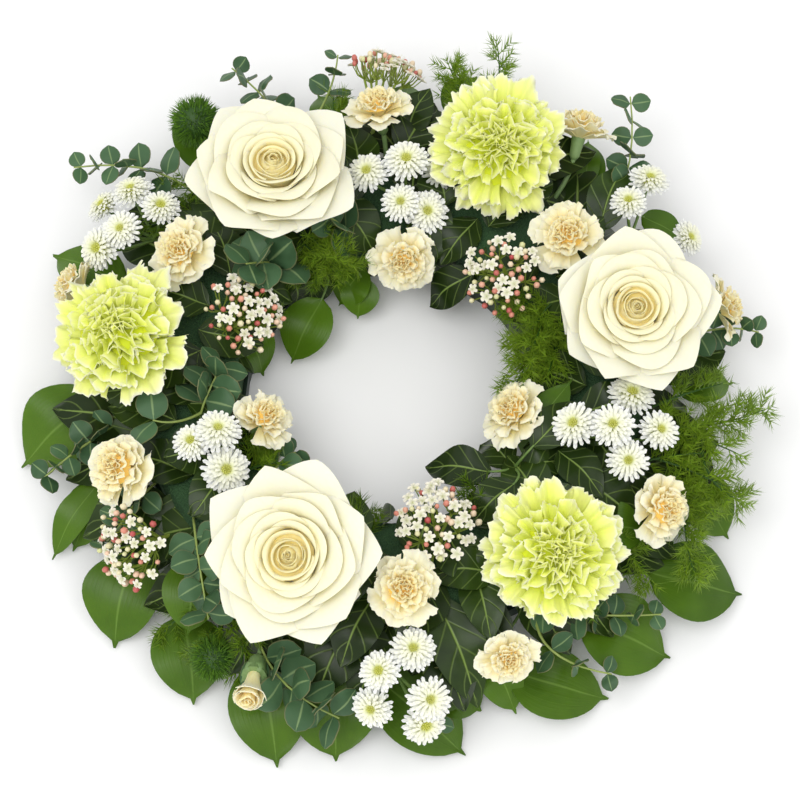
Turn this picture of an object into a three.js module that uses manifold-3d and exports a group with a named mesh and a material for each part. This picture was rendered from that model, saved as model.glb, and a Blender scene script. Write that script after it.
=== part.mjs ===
// Funeral wreath: roses, carnations, santini, viburnum and mixed foliage, each with its cut
// stem pushed into a wet floral foam ring that sits in a shallow plastic tray.
//
// Millimetres, +Z up. The origin is the ring's centre on the surface that the tray rests on.
// Every place is a ring coordinate: an angle in degrees, counter-clockwise from +X, a radius
// from the ring's axis, and a height above the surface.

import * as THREE from 'three';
import { mergeVertices } from 'three/addons/utils/BufferGeometryUtils.js';
import Module from 'manifold-3d';

const wasm = await Module();
wasm.setup();

// Driving dimensions

const TRAY = { inner: 88, outer: 152, floor: 2, wall: 2, height: 14 };
const FIT_GAP = 0.4;
const FOAM = {
  inner: TRAY.inner + TRAY.wall + FIT_GAP,
  outer: TRAY.outer - TRAY.wall - FIT_GAP,
  bottom: TRAY.floor + FIT_GAP,
  top: 47,
  rounding: 9,
};
const RING_SEGMENTS = 36;

const STEM_FOOT_HEIGHT = 18; // how deep the upright stems reach
const ROSE_STEM = 3;
const CARNATION_STEM = 2.2;
const SPRAY_STEM = 1.6;
const TWIG = 1.4;
const PETIOLE = 1;
const LEAF_THICKNESS = 1;

// Bloom profiles: [radius, height above the stem's end], from the calyx up over the petals to
// the centre. FACE is the height at which the outline is widest.

const ROSE = {
  profile: [[5, 1], [8, 9], [24, 16], [42, 27], [50, 36], [40, 41], [32, 49], [20, 50], [9, 44]],
  closing: 42,
  face: 34,
  segments: 15,
  lobes: 5,
  lobeDepth: 0.09,
};
const CARNATION = {
  profile: [[5, 1], [7, 18], [30, 25], [41, 34], [37, 44], [20, 51]],
  closing: 49,
  face: 34,
  segments: 16,
  lobes: 8,
  lobeDepth: 0.05,
};
const SPRAY_CARNATION = {
  profile: [[3.6, 1], [4.6, 15], [16, 20], [20, 26], [12, 33]],
  closing: 31,
  face: 24,
  segments: 8,
  lobes: 4,
  lobeDepth: 0.07,
};
const SPRAY_BUD = {
  profile: [[3.6, 1], [6, 10], [9, 20], [6, 27]],
  closing: 29,
  face: 20,
  segments: 6,
  lobes: 4,
  lobeDepth: 0.04,
};
const SANTINI = {
  profile: [[3.4, 1], [13.5, 6], [10, 10]],
  closing: 11,
  face: 7,
  segments: 6,
  lobes: 3,
  lobeDepth: 0.04,
};

// Ring geometry

const UP = new THREE.Vector3(0, 0, 1);

function ring(angle, radius, height) {
  const turn = THREE.MathUtils.degToRad(angle);
  return new THREE.Vector3(radius * Math.cos(turn), radius * Math.sin(turn), height);
}

// The unit vector that leans from upright towards a compass heading.
function facing(lean, heading) {
  const tilt = THREE.MathUtils.degToRad(lean);
  return ring(heading, Math.sin(tilt), Math.cos(tilt));
}

// Solids

function toSolid(geometry) {
  const bare = geometry.clone();
  bare.deleteAttribute('normal');
  bare.deleteAttribute('uv');
  const welded = mergeVertices(bare, 1e-3);
  const corners = welded.index.array;
  const triangles = [];
  for (let i = 0; i < corners.length; i += 3) {
    const [a, b, c] = corners.slice(i, i + 3);
    if (a !== b && b !== c && c !== a) triangles.push(a, b, c);
  }
  return new wasm.Manifold(new wasm.Mesh({
    numProp: 3,
    vertProperties: new Float32Array(welded.attributes.position.array),
    triVerts: new Uint32Array(triangles),
  }));
}

function toGeometry(solid) {
  const mesh = solid.getMesh();
  const geometry = new THREE.BufferGeometry();
  geometry.setAttribute('position', new THREE.BufferAttribute(mesh.vertProperties, 3));
  geometry.setIndex(new THREE.BufferAttribute(mesh.triVerts, 1));
  geometry.computeVertexNormals();
  return geometry;
}

function join(geometries) {
  return geometries.map(toSolid).reduce((whole, piece) => whole.add(piece));
}

// Stems

function polygon(radius, sides) {
  const corners = [];
  for (let i = 0; i < sides; i += 1) {
    const turn = (2 * Math.PI * i) / sides;
    corners.push(new THREE.Vector2(radius * Math.cos(turn), radius * Math.sin(turn)));
  }
  return new THREE.Shape(corners);
}

function tube(curve, radius, steps, sides) {
  const options = { steps, extrudePath: curve, bevelEnabled: false };
  return new THREE.ExtrudeGeometry(polygon(radius, sides), options);
}

// A stem rises from its foot and arrives at its end along the end's own direction.
function stemCurve(foot, end, direction) {
  const reach = 0.45 * foot.distanceTo(end);
  const bend = end.clone().addScaledVector(direction, -reach);
  return new THREE.QuadraticBezierCurve3(foot, bend, end);
}

// Everything planted in the foam is one mesh whose origin is its stem's foot, turned so that
// its own +X points away from the ring's centre. Its socket is cut from the foam.

const wreath = new THREE.Group();
const sockets = [];

function plant(name, foot, solid, look) {
  const mesh = new THREE.Mesh(undefined, new THREE.MeshStandardMaterial(look));
  mesh.name = name;
  mesh.position.copy(foot);
  mesh.rotation.z = Math.atan2(foot.y, foot.x);
  mesh.updateMatrix();
  mesh.geometry = toGeometry(solid).applyMatrix4(mesh.matrix.clone().invert());
  wreath.add(mesh);
}

function bore(curve, radius, steps, sides) {
  const start = curve.getPoint(0);
  start.addScaledVector(curve.getTangent(0), -2 * FIT_GAP);
  const longer = curve.clone();
  longer.v0 = start;
  sockets.push(toSolid(tube(longer, radius + FIT_GAP, steps, sides)));
}

// Blooms: a revolved head with its petal tips drawn out, on a bent stem

function bloomHead(bloom, base, axis) {
  const points = [new THREE.Vector2(0, 0)];
  for (const [radius, height] of bloom.profile) points.push(new THREE.Vector2(radius, height));
  points.push(new THREE.Vector2(0, bloom.closing));
  const head = new THREE.LatheGeometry(points, bloom.segments);
  head.rotateX(Math.PI / 2);

  const widest = Math.max(...bloom.profile.map(([radius]) => radius));
  const place = head.attributes.position;
  for (let i = 0; i < place.count; i += 1) {
    const x = place.getX(i);
    const y = place.getY(i);
    const edge = (Math.hypot(x, y) / widest) ** 3;
    const lobe = 1 + bloom.lobeDepth * edge * Math.cos(bloom.lobes * Math.atan2(y, x));
    place.setXY(i, x * lobe, y * lobe);
  }
  head.applyQuaternion(new THREE.Quaternion().setFromUnitVectors(UP, axis));
  return head.translate(base.x, base.y, base.z);
}

// One bloom on its own stem. `at` is the middle of its face, which leans towards a heading.
function plantBloom(name, bloom, look, stemRadius, { at, lean, heading, foot }) {
  const axis = facing(lean, heading);
  const base = ring(...at).addScaledVector(axis, -bloom.face);
  const root = ring(...foot, STEM_FOOT_HEIGHT);
  const curve = stemCurve(root, base.clone().addScaledVector(axis, 1), axis);
  plant(name, root, join([bloomHead(bloom, base, axis), tube(curve, stemRadius, 3, 5)]), look);
  bore(curve, stemRadius, 3, 5);
}

const ROSES = [
  { at: [123, 138, 88], lean: 14, heading: 240, foot: [123, 126] },
  { at: [9, 146, 88], lean: 14, heading: 300, foot: [9, 128] },
  { at: [247, 140, 88], lean: 22, heading: 225, foot: [247, 126] },
];
for (const [i, rose] of ROSES.entries()) {
  const look = { color: '#f4efd9', roughness: 0.55, metalness: 0 };
  plantBloom(`rose_${i + 1}`, ROSE, look, ROSE_STEM, rose);
}

const CARNATIONS = [
  { at: [64, 148, 84], lean: 10, heading: 80, foot: [64, 130] },
  { at: [176, 157, 80], lean: 16, heading: 190, foot: [176, 132] },
  { at: [306, 154, 84], lean: 18, heading: 300, foot: [306, 130] },
];
for (const [i, carnation] of CARNATIONS.entries()) {
  const look = { color: '#cfde7e', roughness: 0.7, metalness: 0 };
  plantBloom(`green_carnation_${i + 1}`, CARNATION, look, CARNATION_STEM, carnation);
}

const SPRAY_CARNATIONS = [
  { at: [93, 169, 72], lean: 30, heading: 110, foot: [93, 132] },
  { at: [152, 142, 76], lean: 25, heading: 200, foot: [154, 128] },
  { at: [84, 70, 56], lean: 38, heading: 262, foot: [84, 106] },
  { at: [36, 128, 80], lean: 12, heading: 200, foot: [34, 122] },
  { at: [54, 198, 62], lean: 80, heading: 30, foot: [54, 136] },
  { at: [12, 206, 48], lean: 78, heading: 10, foot: [20, 136] },
  { at: [338, 75, 60], lean: 35, heading: 160, foot: [336, 106] },
  { at: [206, 80, 67], lean: 28, heading: 30, foot: [202, 104] },
  { at: [203, 170, 66], lean: 35, heading: 200, foot: [203, 134] },
  { at: [163, 202, 45], lean: 80, heading: 160, foot: [164, 138] },
  { at: [330, 180, 62], lean: 40, heading: 330, foot: [328, 134] },
  { at: [273, 144, 82], lean: 15, heading: 270, foot: [274, 128] },
  { at: [290, 190, 62], lean: 35, heading: 285, foot: [289, 134] },
];
const CREAM = { color: '#f6e6b4', roughness: 0.65, metalness: 0 };
for (const [i, carnation] of SPRAY_CARNATIONS.entries()) {
  plantBloom(`spray_carnation_${i + 1}`, SPRAY_CARNATION, CREAM, SPRAY_STEM, carnation);
}
const BUD = { at: [248, 209, 50], lean: 95, heading: 255, foot: [241, 138] };
plantBloom('spray_carnation_bud', SPRAY_BUD, CREAM, SPRAY_STEM, BUD);

// Santini: several small daisies on one branching stem. Each head is [angle, radius, height,
// lean], and leans away from the fork.

function plantSantini(name, { foot, fork, heads }) {
  const root = ring(...foot, STEM_FOOT_HEIGHT);
  const crotch = ring(...fork);
  const trunk = stemCurve(root, crotch, UP);
  const pieces = [tube(trunk, TWIG, 3, 4)];
  for (const [angle, radius, height, lean] of heads) {
    const face = ring(angle, radius, height);
    const away = face.clone().sub(crotch);
    const heading = THREE.MathUtils.radToDeg(Math.atan2(away.y, away.x));
    const axis = facing(lean, heading);
    const base = face.addScaledVector(axis, -SANTINI.face);
    const branch = stemCurve(trunk.getPoint(0.9), base.clone().addScaledVector(axis, 1), axis);
    pieces.push(tube(branch, PETIOLE, 2, 3), bloomHead(SANTINI, base, axis));
  }
  plant(name, root, join(pieces), { color: '#f5f6ea', roughness: 0.6, metalness: 0 });
  bore(trunk, TWIG, 3, 4);
}

const SANTINI_SPRAYS = [
  {
    foot: [145, 134],
    fork: [147, 172, 42],
    heads: [[144, 194, 62, 25], [144, 171, 68, 10], [152, 183, 66, 15], [156, 192, 56, 35], [148, 207, 52, 40]],
  },
  {
    foot: [86, 118],
    fork: [86, 116, 52],
    heads: [[97, 121, 74, 12], [86, 125, 80, 5], [87, 101, 72, 12], [78, 101, 64, 20], [77, 130, 64, 25]],
  },
  {
    foot: [31, 136],
    fork: [33, 174, 42],
    heads: [[38, 198, 62, 20], [36, 175, 70, 8], [26, 200, 52, 35]],
  },
  {
    foot: [343, 124],
    fork: [341, 138, 54],
    heads: [[337, 113, 76, 20], [339, 134, 84, 5], [350, 140, 72, 20], [343, 160, 74, 15], [334, 149, 74, 20]],
  },
  {
    foot: [211, 122],
    fork: [210, 118, 54],
    heads: [[206, 126, 78, 10], [207, 110, 81, 15], [217, 117, 72, 20]],
  },
  {
    foot: [267, 134],
    fork: [271, 180, 44],
    heads: [[274, 174, 66, 5], [268, 186, 66, 15], [276, 202, 62, 20], [275, 213, 52, 45], [267, 203, 50, 40]],
  },
];
for (const [i, spray] of SANTINI_SPRAYS.entries()) plantSantini(`santini_spray_${i + 1}`, spray);

// Leaves: a thin blade that narrows to its tip, arches over its length and folds at the midrib

function blade(base, tip, { width, arch = 6, roll = 0 }) {
  const length = base.distanceTo(tip);
  const sheet = new THREE.BoxGeometry(length, width, LEAF_THICKNESS, 4, 2, 1);
  sheet.translate(length / 2, 0, 0);
  const place = sheet.attributes.position;
  for (let i = 0; i < place.count; i += 1) {
    const along = THREE.MathUtils.clamp(place.getX(i) / length, 0, 1);
    const swell = Math.max(0, Math.sin(Math.PI * along ** 0.8));
    const narrowed = place.getY(i) * (0.1 + 0.9 * swell ** 0.8);
    const lift = 0.5 * arch * (1 - Math.cos(2 * Math.PI * along)) - 0.18 * Math.abs(narrowed);
    place.setY(i, narrowed);
    place.setZ(i, place.getZ(i) + lift);
  }
  const forward = tip.clone().sub(base).normalize();
  const face = UP.clone().addScaledVector(forward, -UP.dot(forward)).normalize();
  face.applyAxisAngle(forward, THREE.MathUtils.degToRad(roll));
  const side = face.clone().cross(forward);
  sheet.applyMatrix4(new THREE.Matrix4().makeBasis(forward, side, face));
  return sheet.translate(base.x, base.y, base.z);
}

function petiole(from, leafBase, tip) {
  const inward = tip.clone().sub(leafBase).normalize();
  return tube(stemCurve(from, leafBase.clone().addScaledVector(inward, 2), inward), PETIOLE, 2, 4);
}

// A twig comes out of the foam to a fork and carries one blade on each petiole.
function twig({ foot, fork, leaves }) {
  const root = ring(...foot);
  const end = ring(...fork);
  const trunk = stemCurve(root, end, end.clone().sub(root).normalize());
  const pieces = [tube(trunk, TWIG, 3, 4)];
  for (const leaf of leaves) {
    const base = ring(...leaf.base);
    const tip = ring(...leaf.tip);
    pieces.push(petiole(trunk.getPoint(0.9), base, tip), blade(base, tip, leaf));
  }
  return { root, trunk, pieces };
}

function plantTwig(name, shape, color) {
  const { root, trunk, pieces } = twig(shape);
  plant(name, root, join(pieces), { color, roughness: 0.45, metalness: 0 });
  bore(trunk, TWIG, 3, 4);
}

const RIM_TWIGS = [
  {
    foot: [45, 141, 24],
    fork: [45, 160, 28],
    leaves: [
      { base: [47, 176, 28], tip: [54, 211, 22], width: 26 },
      { base: [36, 190, 34], tip: [29, 207, 24], width: 20, arch: 3 },
    ],
  },
  {
    foot: [80, 141, 24],
    fork: [80, 160, 28],
    leaves: [
      { base: [78, 186, 30], tip: [76, 224, 24], width: 30 },
      { base: [88, 176, 30], tip: [87, 212, 26], width: 24 },
    ],
  },
  {
    foot: [127, 141, 24],
    fork: [127, 162, 28],
    leaves: [{ base: [127, 180, 30], tip: [124, 237, 24], width: 38 }],
  },
  {
    foot: [158, 141, 24],
    fork: [158, 160, 26],
    leaves: [{ base: [158, 176, 28], tip: [156, 230, 16], width: 34 }],
  },
  {
    foot: [191, 141, 24],
    fork: [191, 160, 25],
    leaves: [
      { base: [182, 174, 26], tip: [191, 226, 5], width: 50 },
      { base: [199, 182, 24], tip: [207, 224, 6], width: 20 },
    ],
  },
  {
    foot: [222, 141, 24],
    fork: [222, 160, 25],
    leaves: [
      { base: [215, 180, 24], tip: [224, 223, 4], width: 46 },
      { base: [229, 184, 18], tip: [239, 220, 4], width: 44 },
    ],
  },
  {
    foot: [252, 141, 24],
    fork: [252, 160, 25],
    leaves: [
      { base: [246, 184, 22], tip: [254, 234, 4], width: 46 },
      { base: [259, 180, 26], tip: [262, 224, 6], width: 48 },
    ],
  },
  {
    foot: [277, 141, 24],
    fork: [277, 160, 24],
    leaves: [{ base: [268, 178, 18], tip: [281, 222, 4], width: 44 }],
  },
  {
    foot: [298, 141, 24],
    fork: [298, 160, 25],
    leaves: [
      { base: [291, 184, 20], tip: [304, 223, 4], width: 42 },
      { base: [307, 180, 26], tip: [315, 228, 5], width: 48 },
    ],
  },
  {
    foot: [332, 141, 24],
    fork: [332, 160, 26],
    leaves: [
      { base: [322, 188, 26], tip: [329, 239, 6], width: 48 },
      { base: [342, 180, 24], tip: [336, 218, 6], width: 34 },
    ],
  },
];
for (const [i, shape] of RIM_TWIGS.entries()) plantTwig(`leaf_twig_${i + 1}`, shape, '#4f8f34');

const INNER_TWIG = {
  foot: [116, 98, 24],
  fork: [116, 84, 30],
  leaves: [
    { base: [126, 72, 28], tip: [159, 66, 8], width: 32 },
    { base: [104, 76, 26], tip: [112, 56, 12], width: 24, arch: 3 },
  ],
};
plantTwig('inner_leaf_twig', INNER_TWIG, '#4f8f34');

const DARK_TWIG = {
  foot: [320, 98, 26],
  fork: [320, 92, 48],
  leaves: [
    { base: [312, 86, 52], tip: [290, 58, 34], width: 26 },
    { base: [314, 102, 60], tip: [296, 106, 54], width: 24 },
    { base: [327, 96, 60], tip: [348, 110, 58], width: 24, arch: 4 },
  ],
};
plantTwig('dark_leaf_twig', DARK_TWIG, '#2f5a2c');

// Viburnum: a flat-topped cluster of florets and buds on branches that spread from a crown,
// with leaves of its own lower on the twig

const FLORETS_AROUND = 5;
const FLORET_PUFF = 8.5;

function plantViburnum(name, { foot, crown, at, leaves = [] }) {
  const { root, trunk, pieces } = twig({ foot: [...foot, STEM_FOOT_HEIGHT], fork: crown, leaves });
  const centre = ring(...at);
  const hub = trunk.getPoint(0.9);
  const axis = centre.clone().sub(hub).normalize();
  const turned = new THREE.Quaternion().setFromUnitVectors(UP, axis);
  const puffs = [centre];
  for (let i = 0; i < FLORETS_AROUND; i += 1) {
    const around = ring((360 * i) / FLORETS_AROUND, 1.9 * FLORET_PUFF, -4).applyQuaternion(turned);
    puffs.push(around.add(centre));
  }
  for (const puff of puffs) {
    const flower = new THREE.IcosahedronGeometry(FLORET_PUFF, 0);
    pieces.push(flower.translate(puff.x, puff.y, puff.z));
    pieces.push(tube(new THREE.LineCurve3(hub, puff), PETIOLE, 1, 3));
  }
  plant(name, root, join(pieces), { color: '#e3cdbf', roughness: 0.6, metalness: 0 });
  bore(trunk, TWIG, 3, 4);
}

const VIBURNUM_TWIGS = [
  { foot: [102, 134], crown: [93, 176, 40], at: [91, 205, 54] },
  { foot: [161, 106], crown: [163, 98, 50], at: [162, 90, 71] },
  {
    foot: [41, 106],
    crown: [40, 92, 50],
    at: [39, 84, 70],
    leaves: [{ base: [54, 84, 44], tip: [68, 62, 18], width: 26 }],
  },
  {
    foot: [284, 112],
    crown: [284, 108, 52],
    at: [284, 105, 76],
    leaves: [{ base: [280, 140, 50], tip: [284, 202, 26], width: 32 }],
  },
  { foot: [217, 136], crown: [217, 168, 40], at: [217, 186, 58] },
];
for (const [i, shape] of VIBURNUM_TWIGS.entries()) plantViburnum(`viburnum_twig_${i + 1}`, shape);

// Eucalyptus: round leaves in opposite pairs, each pair a quarter turn on from the last and
// smaller towards the tip. A sprig's first path starts in the foam, the others fork from it.

function eucalyptusLeaves(curve, { pairs, from, big, small }) {
  const pieces = [];
  for (let i = 0; i < pairs; i += 1) {
    const share = pairs > 1 ? i / (pairs - 1) : 0;
    const where = from + (0.97 - from) * share;
    const radius = THREE.MathUtils.lerp(big, small, share);
    const stem = curve.getPoint(where);
    const forward = curve.getTangent(where);
    const level = forward.clone().cross(UP).normalize();
    const side = level.applyAxisAngle(forward, i % 2 ? Math.PI / 2.6 : 0);
    const normal = side.clone().cross(forward).addScaledVector(forward, 0.6).normalize();
    const turned = new THREE.Quaternion().setFromUnitVectors(new THREE.Vector3(0, 1, 0), normal);
    for (const hand of [-1, 1]) {
      const centre = stem.clone().addScaledVector(side, hand * (radius - 1.2));
      const leaf = new THREE.SphereGeometry(radius, 7, 2).scale(1, LEAF_THICKNESS / radius, 1);
      pieces.push(leaf.applyQuaternion(turned).translate(centre.x, centre.y, centre.z));
    }
  }
  return pieces;
}

function plantEucalyptus(name, { foot, path, forks = [], ...leaves }) {
  const root = ring(...foot);
  const [middle, tip] = path.map((place) => ring(...place));
  const main = new THREE.QuadraticBezierCurve3(root, middle, tip);
  const pieces = [tube(main, PETIOLE, 6, 4), ...eucalyptusLeaves(main, leaves)];
  for (const fork of forks) {
    const [bend, end] = fork.path.map((place) => ring(...place));
    const branch = new THREE.QuadraticBezierCurve3(main.getPoint(fork.leaves), bend, end);
    pieces.push(tube(branch, PETIOLE, 5, 4), ...eucalyptusLeaves(branch, fork));
  }
  plant(name, root, join(pieces), { color: '#5f8672', roughness: 0.55, metalness: 0 });
  bore(main, PETIOLE, 6, 4);
}

const EUCALYPTUS_SPRIGS = [
  { foot: [137, 138, 22], path: [[129, 190, 52], [145, 238, 50]], pairs: 4, from: 0.55, big: 9, small: 6 },
  {
    foot: [110, 136, 20],
    path: [[108, 180, 44], [116, 228, 54]],
    pairs: 3,
    from: 0.62,
    big: 9,
    small: 6,
    forks: [{ leaves: 0.4, path: [[101, 190, 46], [99, 216, 56]], pairs: 2, from: 0.6, big: 7, small: 5 }],
  },
  { foot: [42, 138, 22], path: [[34, 185, 50], [51, 234, 58]], pairs: 4, from: 0.5, big: 8, small: 6 },
  { foot: [132, 104, 20], path: [[130, 94, 56], [146, 103, 76]], pairs: 3, from: 0.6, big: 13, small: 9 },
  {
    foot: [194, 114, 20],
    path: [[200, 124, 68], [181, 98, 65]],
    pairs: 3,
    from: 0.65,
    big: 10,
    small: 8,
    forks: [{ leaves: 0.5, path: [[198, 130, 62], [195, 142, 64]], pairs: 1, from: 0.97, big: 10, small: 9 }],
  },
  { foot: [187, 138, 22], path: [[189, 170, 40], [197, 212, 36]], pairs: 4, from: 0.45, big: 8, small: 6 },
  { foot: [213, 138, 22], path: [[222, 150, 84], [236, 183, 50]], pairs: 4, from: 0.5, big: 9, small: 8 },
  { foot: [237, 138, 20], path: [[244, 202, 48], [262, 207, 37]], pairs: 4, from: 0.5, big: 11, small: 9 },
  {
    foot: [294, 138, 22],
    path: [[300, 175, 46], [317, 210, 32]],
    pairs: 4,
    from: 0.4,
    big: 8,
    small: 5,
    forks: [{ leaves: 0.35, path: [[294, 190, 44], [305, 217, 30]], pairs: 2, from: 0.5, big: 7, small: 5 }],
  },
];
for (const [i, sprig] of EUCALYPTUS_SPRIGS.entries()) plantEucalyptus(`eucalyptus_sprig_${i + 1}`, sprig);

// Asparagus fern: a wiry stem with a plume of needle tufts on each frond

function fernFrond(curve, tufts, size) {
  const pieces = [tube(curve, PETIOLE, 4, 4)];
  for (let i = 0; i < tufts; i += 1) {
    const where = 0.4 + (0.6 * (i + 1)) / tufts;
    const forward = curve.getTangent(where);
    const tuft = new THREE.OctahedronGeometry(1, 0).scale(size, 0.6 * size, 0.6 * size);
    tuft.applyQuaternion(new THREE.Quaternion().setFromUnitVectors(new THREE.Vector3(1, 0, 0), forward));
    const centre = curve.getPoint(where);
    pieces.push(tuft.translate(centre.x, centre.y, centre.z));
  }
  return pieces;
}

function plantFern(name, { foot, fronds, size }) {
  const root = ring(...foot, STEM_FOOT_HEIGHT);
  const [first, ...others] = fronds.map((path) => path.map((place) => ring(...place)));
  const main = new THREE.QuadraticBezierCurve3(root, ...first);
  const pieces = fernFrond(main, 5, size);
  for (const path of others) {
    const branch = new THREE.QuadraticBezierCurve3(main.getPoint(0.5), ...path);
    pieces.push(...fernFrond(branch, 4, size));
  }
  plant(name, root, join(pieces), { color: '#8fb545', roughness: 0.7, metalness: 0 });
  bore(main, PETIOLE, 4, 4);
}

const FERN_SPRIGS = [
  { foot: [71, 136], fronds: [[[68, 190, 50], [73, 226, 58]], [[77, 190, 52], [80, 208, 54]]], size: 9 },
  { foot: [112, 106], fronds: [[[116, 70, 56], [117, 80, 62]]], size: 9 },
  { foot: [22, 106], fronds: [[[14, 98, 74], [353, 72, 46]]], size: 10 },
  {
    foot: [349, 136],
    fronds: [[[348, 190, 52], [354, 219, 46]], [[338, 190, 48], [339, 217, 40]], [[330, 186, 44], [325, 212, 38]]],
    size: 10,
  },
];
for (const [i, sprig] of FERN_SPRIGS.entries()) plantFern(`fern_sprig_${i + 1}`, sprig);

// Green trick dianthus: a round mossy head

function plantGreenTrick(name, { foot, at, radius }) {
  const root = ring(...foot);
  const head = ring(...at);
  const curve = stemCurve(root, head, head.clone().sub(root).normalize());
  const ball = new THREE.IcosahedronGeometry(radius, 1).translate(head.x, head.y, head.z);
  plant(name, root, join([ball, tube(curve, SPRAY_STEM, 3, 4)]), { color: '#6f9f35', roughness: 0.9, metalness: 0 });
  bore(curve, SPRAY_STEM, 3, 4);
}

plantGreenTrick('green_trick_1', { foot: [117, 138, 20], at: [126, 206, 54], radius: 17 });
plantGreenTrick('green_trick_2', { foot: [230, 138, 20], at: [239, 196, 30], radius: 14 });

// The foam ring, with a socket for every stem, and the tray that holds it

function revolve(points) {
  const section = points.map(([radius, height]) => new THREE.Vector2(radius, height));
  section.push(section[0].clone());
  return new THREE.LatheGeometry(section, RING_SEGMENTS).rotateX(Math.PI / 2);
}

function addRing(name, solid, look) {
  const mesh = new THREE.Mesh(toGeometry(solid), new THREE.MeshStandardMaterial(look));
  mesh.name = name;
  wreath.add(mesh);
}

const shoulder = FOAM.top - FOAM.rounding;
const foamSection = [
  [FOAM.inner, FOAM.bottom],
  [FOAM.outer, FOAM.bottom],
  [FOAM.outer, shoulder],
  [FOAM.outer - 0.3 * FOAM.rounding, FOAM.top - 0.3 * FOAM.rounding],
  [FOAM.outer - FOAM.rounding, FOAM.top],
  [FOAM.inner + FOAM.rounding, FOAM.top],
  [FOAM.inner + 0.3 * FOAM.rounding, FOAM.top - 0.3 * FOAM.rounding],
  [FOAM.inner, shoulder],
];
const plain = toSolid(revolve(foamSection));
const bored = sockets.reduce((foam, socket) => foam.subtract(socket), plain);
addRing('foam_ring', bored, { color: '#3f5f3a', roughness: 1, metalness: 0 });

const traySection = [
  [TRAY.inner, 0],
  [TRAY.outer, 0],
  [TRAY.outer, TRAY.height],
  [TRAY.outer - TRAY.wall, TRAY.height],
  [TRAY.outer - TRAY.wall, TRAY.floor],
  [TRAY.inner + TRAY.wall, TRAY.floor],
  [TRAY.inner + TRAY.wall, TRAY.height],
  [TRAY.inner, TRAY.height],
];
addRing('tray', toSolid(revolve(traySection)), { color: '#1f3524', roughness: 0.5, metalness: 0 });

export default wreath;
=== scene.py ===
# A funeral wreath: roses, carnations, santini, viburnum and mixed foliage, their cut stems
# pushed into a ring of wet floral foam in a plastic tray. Each flower and sprig replaces one
# plain solid. Places are ring coordinates: an angle in degrees, counter-clockwise from +X,
# and a radius and a height in millimetres.
import math
import random

import bmesh
import bpy
from mathutils import Matrix, Vector


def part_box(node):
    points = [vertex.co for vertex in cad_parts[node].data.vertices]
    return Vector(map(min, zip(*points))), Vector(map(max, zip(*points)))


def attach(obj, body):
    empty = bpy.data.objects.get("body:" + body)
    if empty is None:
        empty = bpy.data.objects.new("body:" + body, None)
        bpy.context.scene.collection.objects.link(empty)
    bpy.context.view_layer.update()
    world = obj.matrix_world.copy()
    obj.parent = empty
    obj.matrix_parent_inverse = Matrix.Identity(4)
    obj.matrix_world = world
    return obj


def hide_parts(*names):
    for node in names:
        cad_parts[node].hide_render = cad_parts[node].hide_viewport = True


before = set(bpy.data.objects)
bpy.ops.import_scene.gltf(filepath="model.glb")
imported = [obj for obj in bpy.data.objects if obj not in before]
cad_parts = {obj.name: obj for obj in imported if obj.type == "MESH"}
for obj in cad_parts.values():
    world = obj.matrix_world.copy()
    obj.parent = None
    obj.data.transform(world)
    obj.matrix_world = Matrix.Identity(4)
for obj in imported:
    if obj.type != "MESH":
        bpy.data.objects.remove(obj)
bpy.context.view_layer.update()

# ---------------------------------------------------------------------------------------
# Camera: a long lens that looks down on the wreath from the front, steeply enough to see
# into every bloom and flat enough to show the depth of the ring.

VIEW_ELEVATION = math.radians(67)
VIEW_DISTANCE = 1.3
aim = Vector((0.005, 0.003, 0.0))

camera_data = bpy.data.cameras.new("camera")
camera_data.lens = 95.9
camera_data.clip_start = 0.05
camera_data.clip_end = 20
camera = bpy.data.objects.new("camera", camera_data)
bpy.context.collection.objects.link(camera)
backward = Vector((0, -math.cos(VIEW_ELEVATION), math.sin(VIEW_ELEVATION)))
camera.location = aim + VIEW_DISTANCE * backward
camera.rotation_euler = (-backward).to_track_quat("-Z", "Y").to_euler()
bpy.context.scene.camera = camera

# ---------------------------------------------------------------------------------------
# Studio: a pale floor in a white room, a soft key light above on the left, and a broader,
# weaker one in front on the right that fills the shadows.


def linear(code):
    """The linear colour of an sRGB hex code such as "F4EFD9"."""
    channels = [int(code[i : i + 2], 16) / 255 for i in (0, 2, 4)]
    bent = [c / 12.92 if c <= 0.04045 else ((c + 0.055) / 1.055) ** 2.4 for c in channels]
    return (*bent, 1)


def add_node(tree, kind, inputs=None, out=0, **settings):
    """Adds one shader node, fills or links its inputs, and returns one of its outputs."""
    made = tree.nodes.new("ShaderNode" + kind)
    for name, value in settings.items():
        setattr(made, name, value)
    for name, value in (inputs or {}).items():
        if isinstance(value, bpy.types.NodeSocket):
            tree.links.new(value, made.inputs[name])
        else:
            made.inputs[name].default_value = value
    return made.outputs[out]


def new_material(name):
    """An empty material and its node tree, which give_shader completes."""
    material = bpy.data.materials.new(name)
    material.use_nodes = True
    material.node_tree.nodes.clear()
    return material, material.node_tree


def give_shader(tree, inputs):
    """Ends a node tree in one principled shader with these inputs."""
    surface = add_node(tree, "BsdfPrincipled", inputs)
    end = tree.nodes.new("ShaderNodeOutputMaterial")
    tree.links.new(surface, end.inputs["Surface"])


CRISP_EDGE = math.radians(65)  # flatter angles than this are shaded smooth


def new_object(name, bm, materials):
    """Turns a finished bmesh, modelled in millimetres, into an object in metres."""
    bmesh.ops.recalc_face_normals(bm, faces=bm.faces[:])
    bmesh.ops.scale(bm, vec=(0.001, 0.001, 0.001), verts=bm.verts)
    mesh = bpy.data.meshes.new(name)
    bm.to_mesh(mesh)
    bm.free()
    for material in materials:
        mesh.materials.append(material)
    mesh.polygons.foreach_set("use_smooth", [True] * len(mesh.polygons))
    mesh.set_sharp_from_angle(angle=CRISP_EDGE)
    made = bpy.data.objects.new(name, mesh)
    bpy.context.collection.objects.link(made)
    return made


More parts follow.
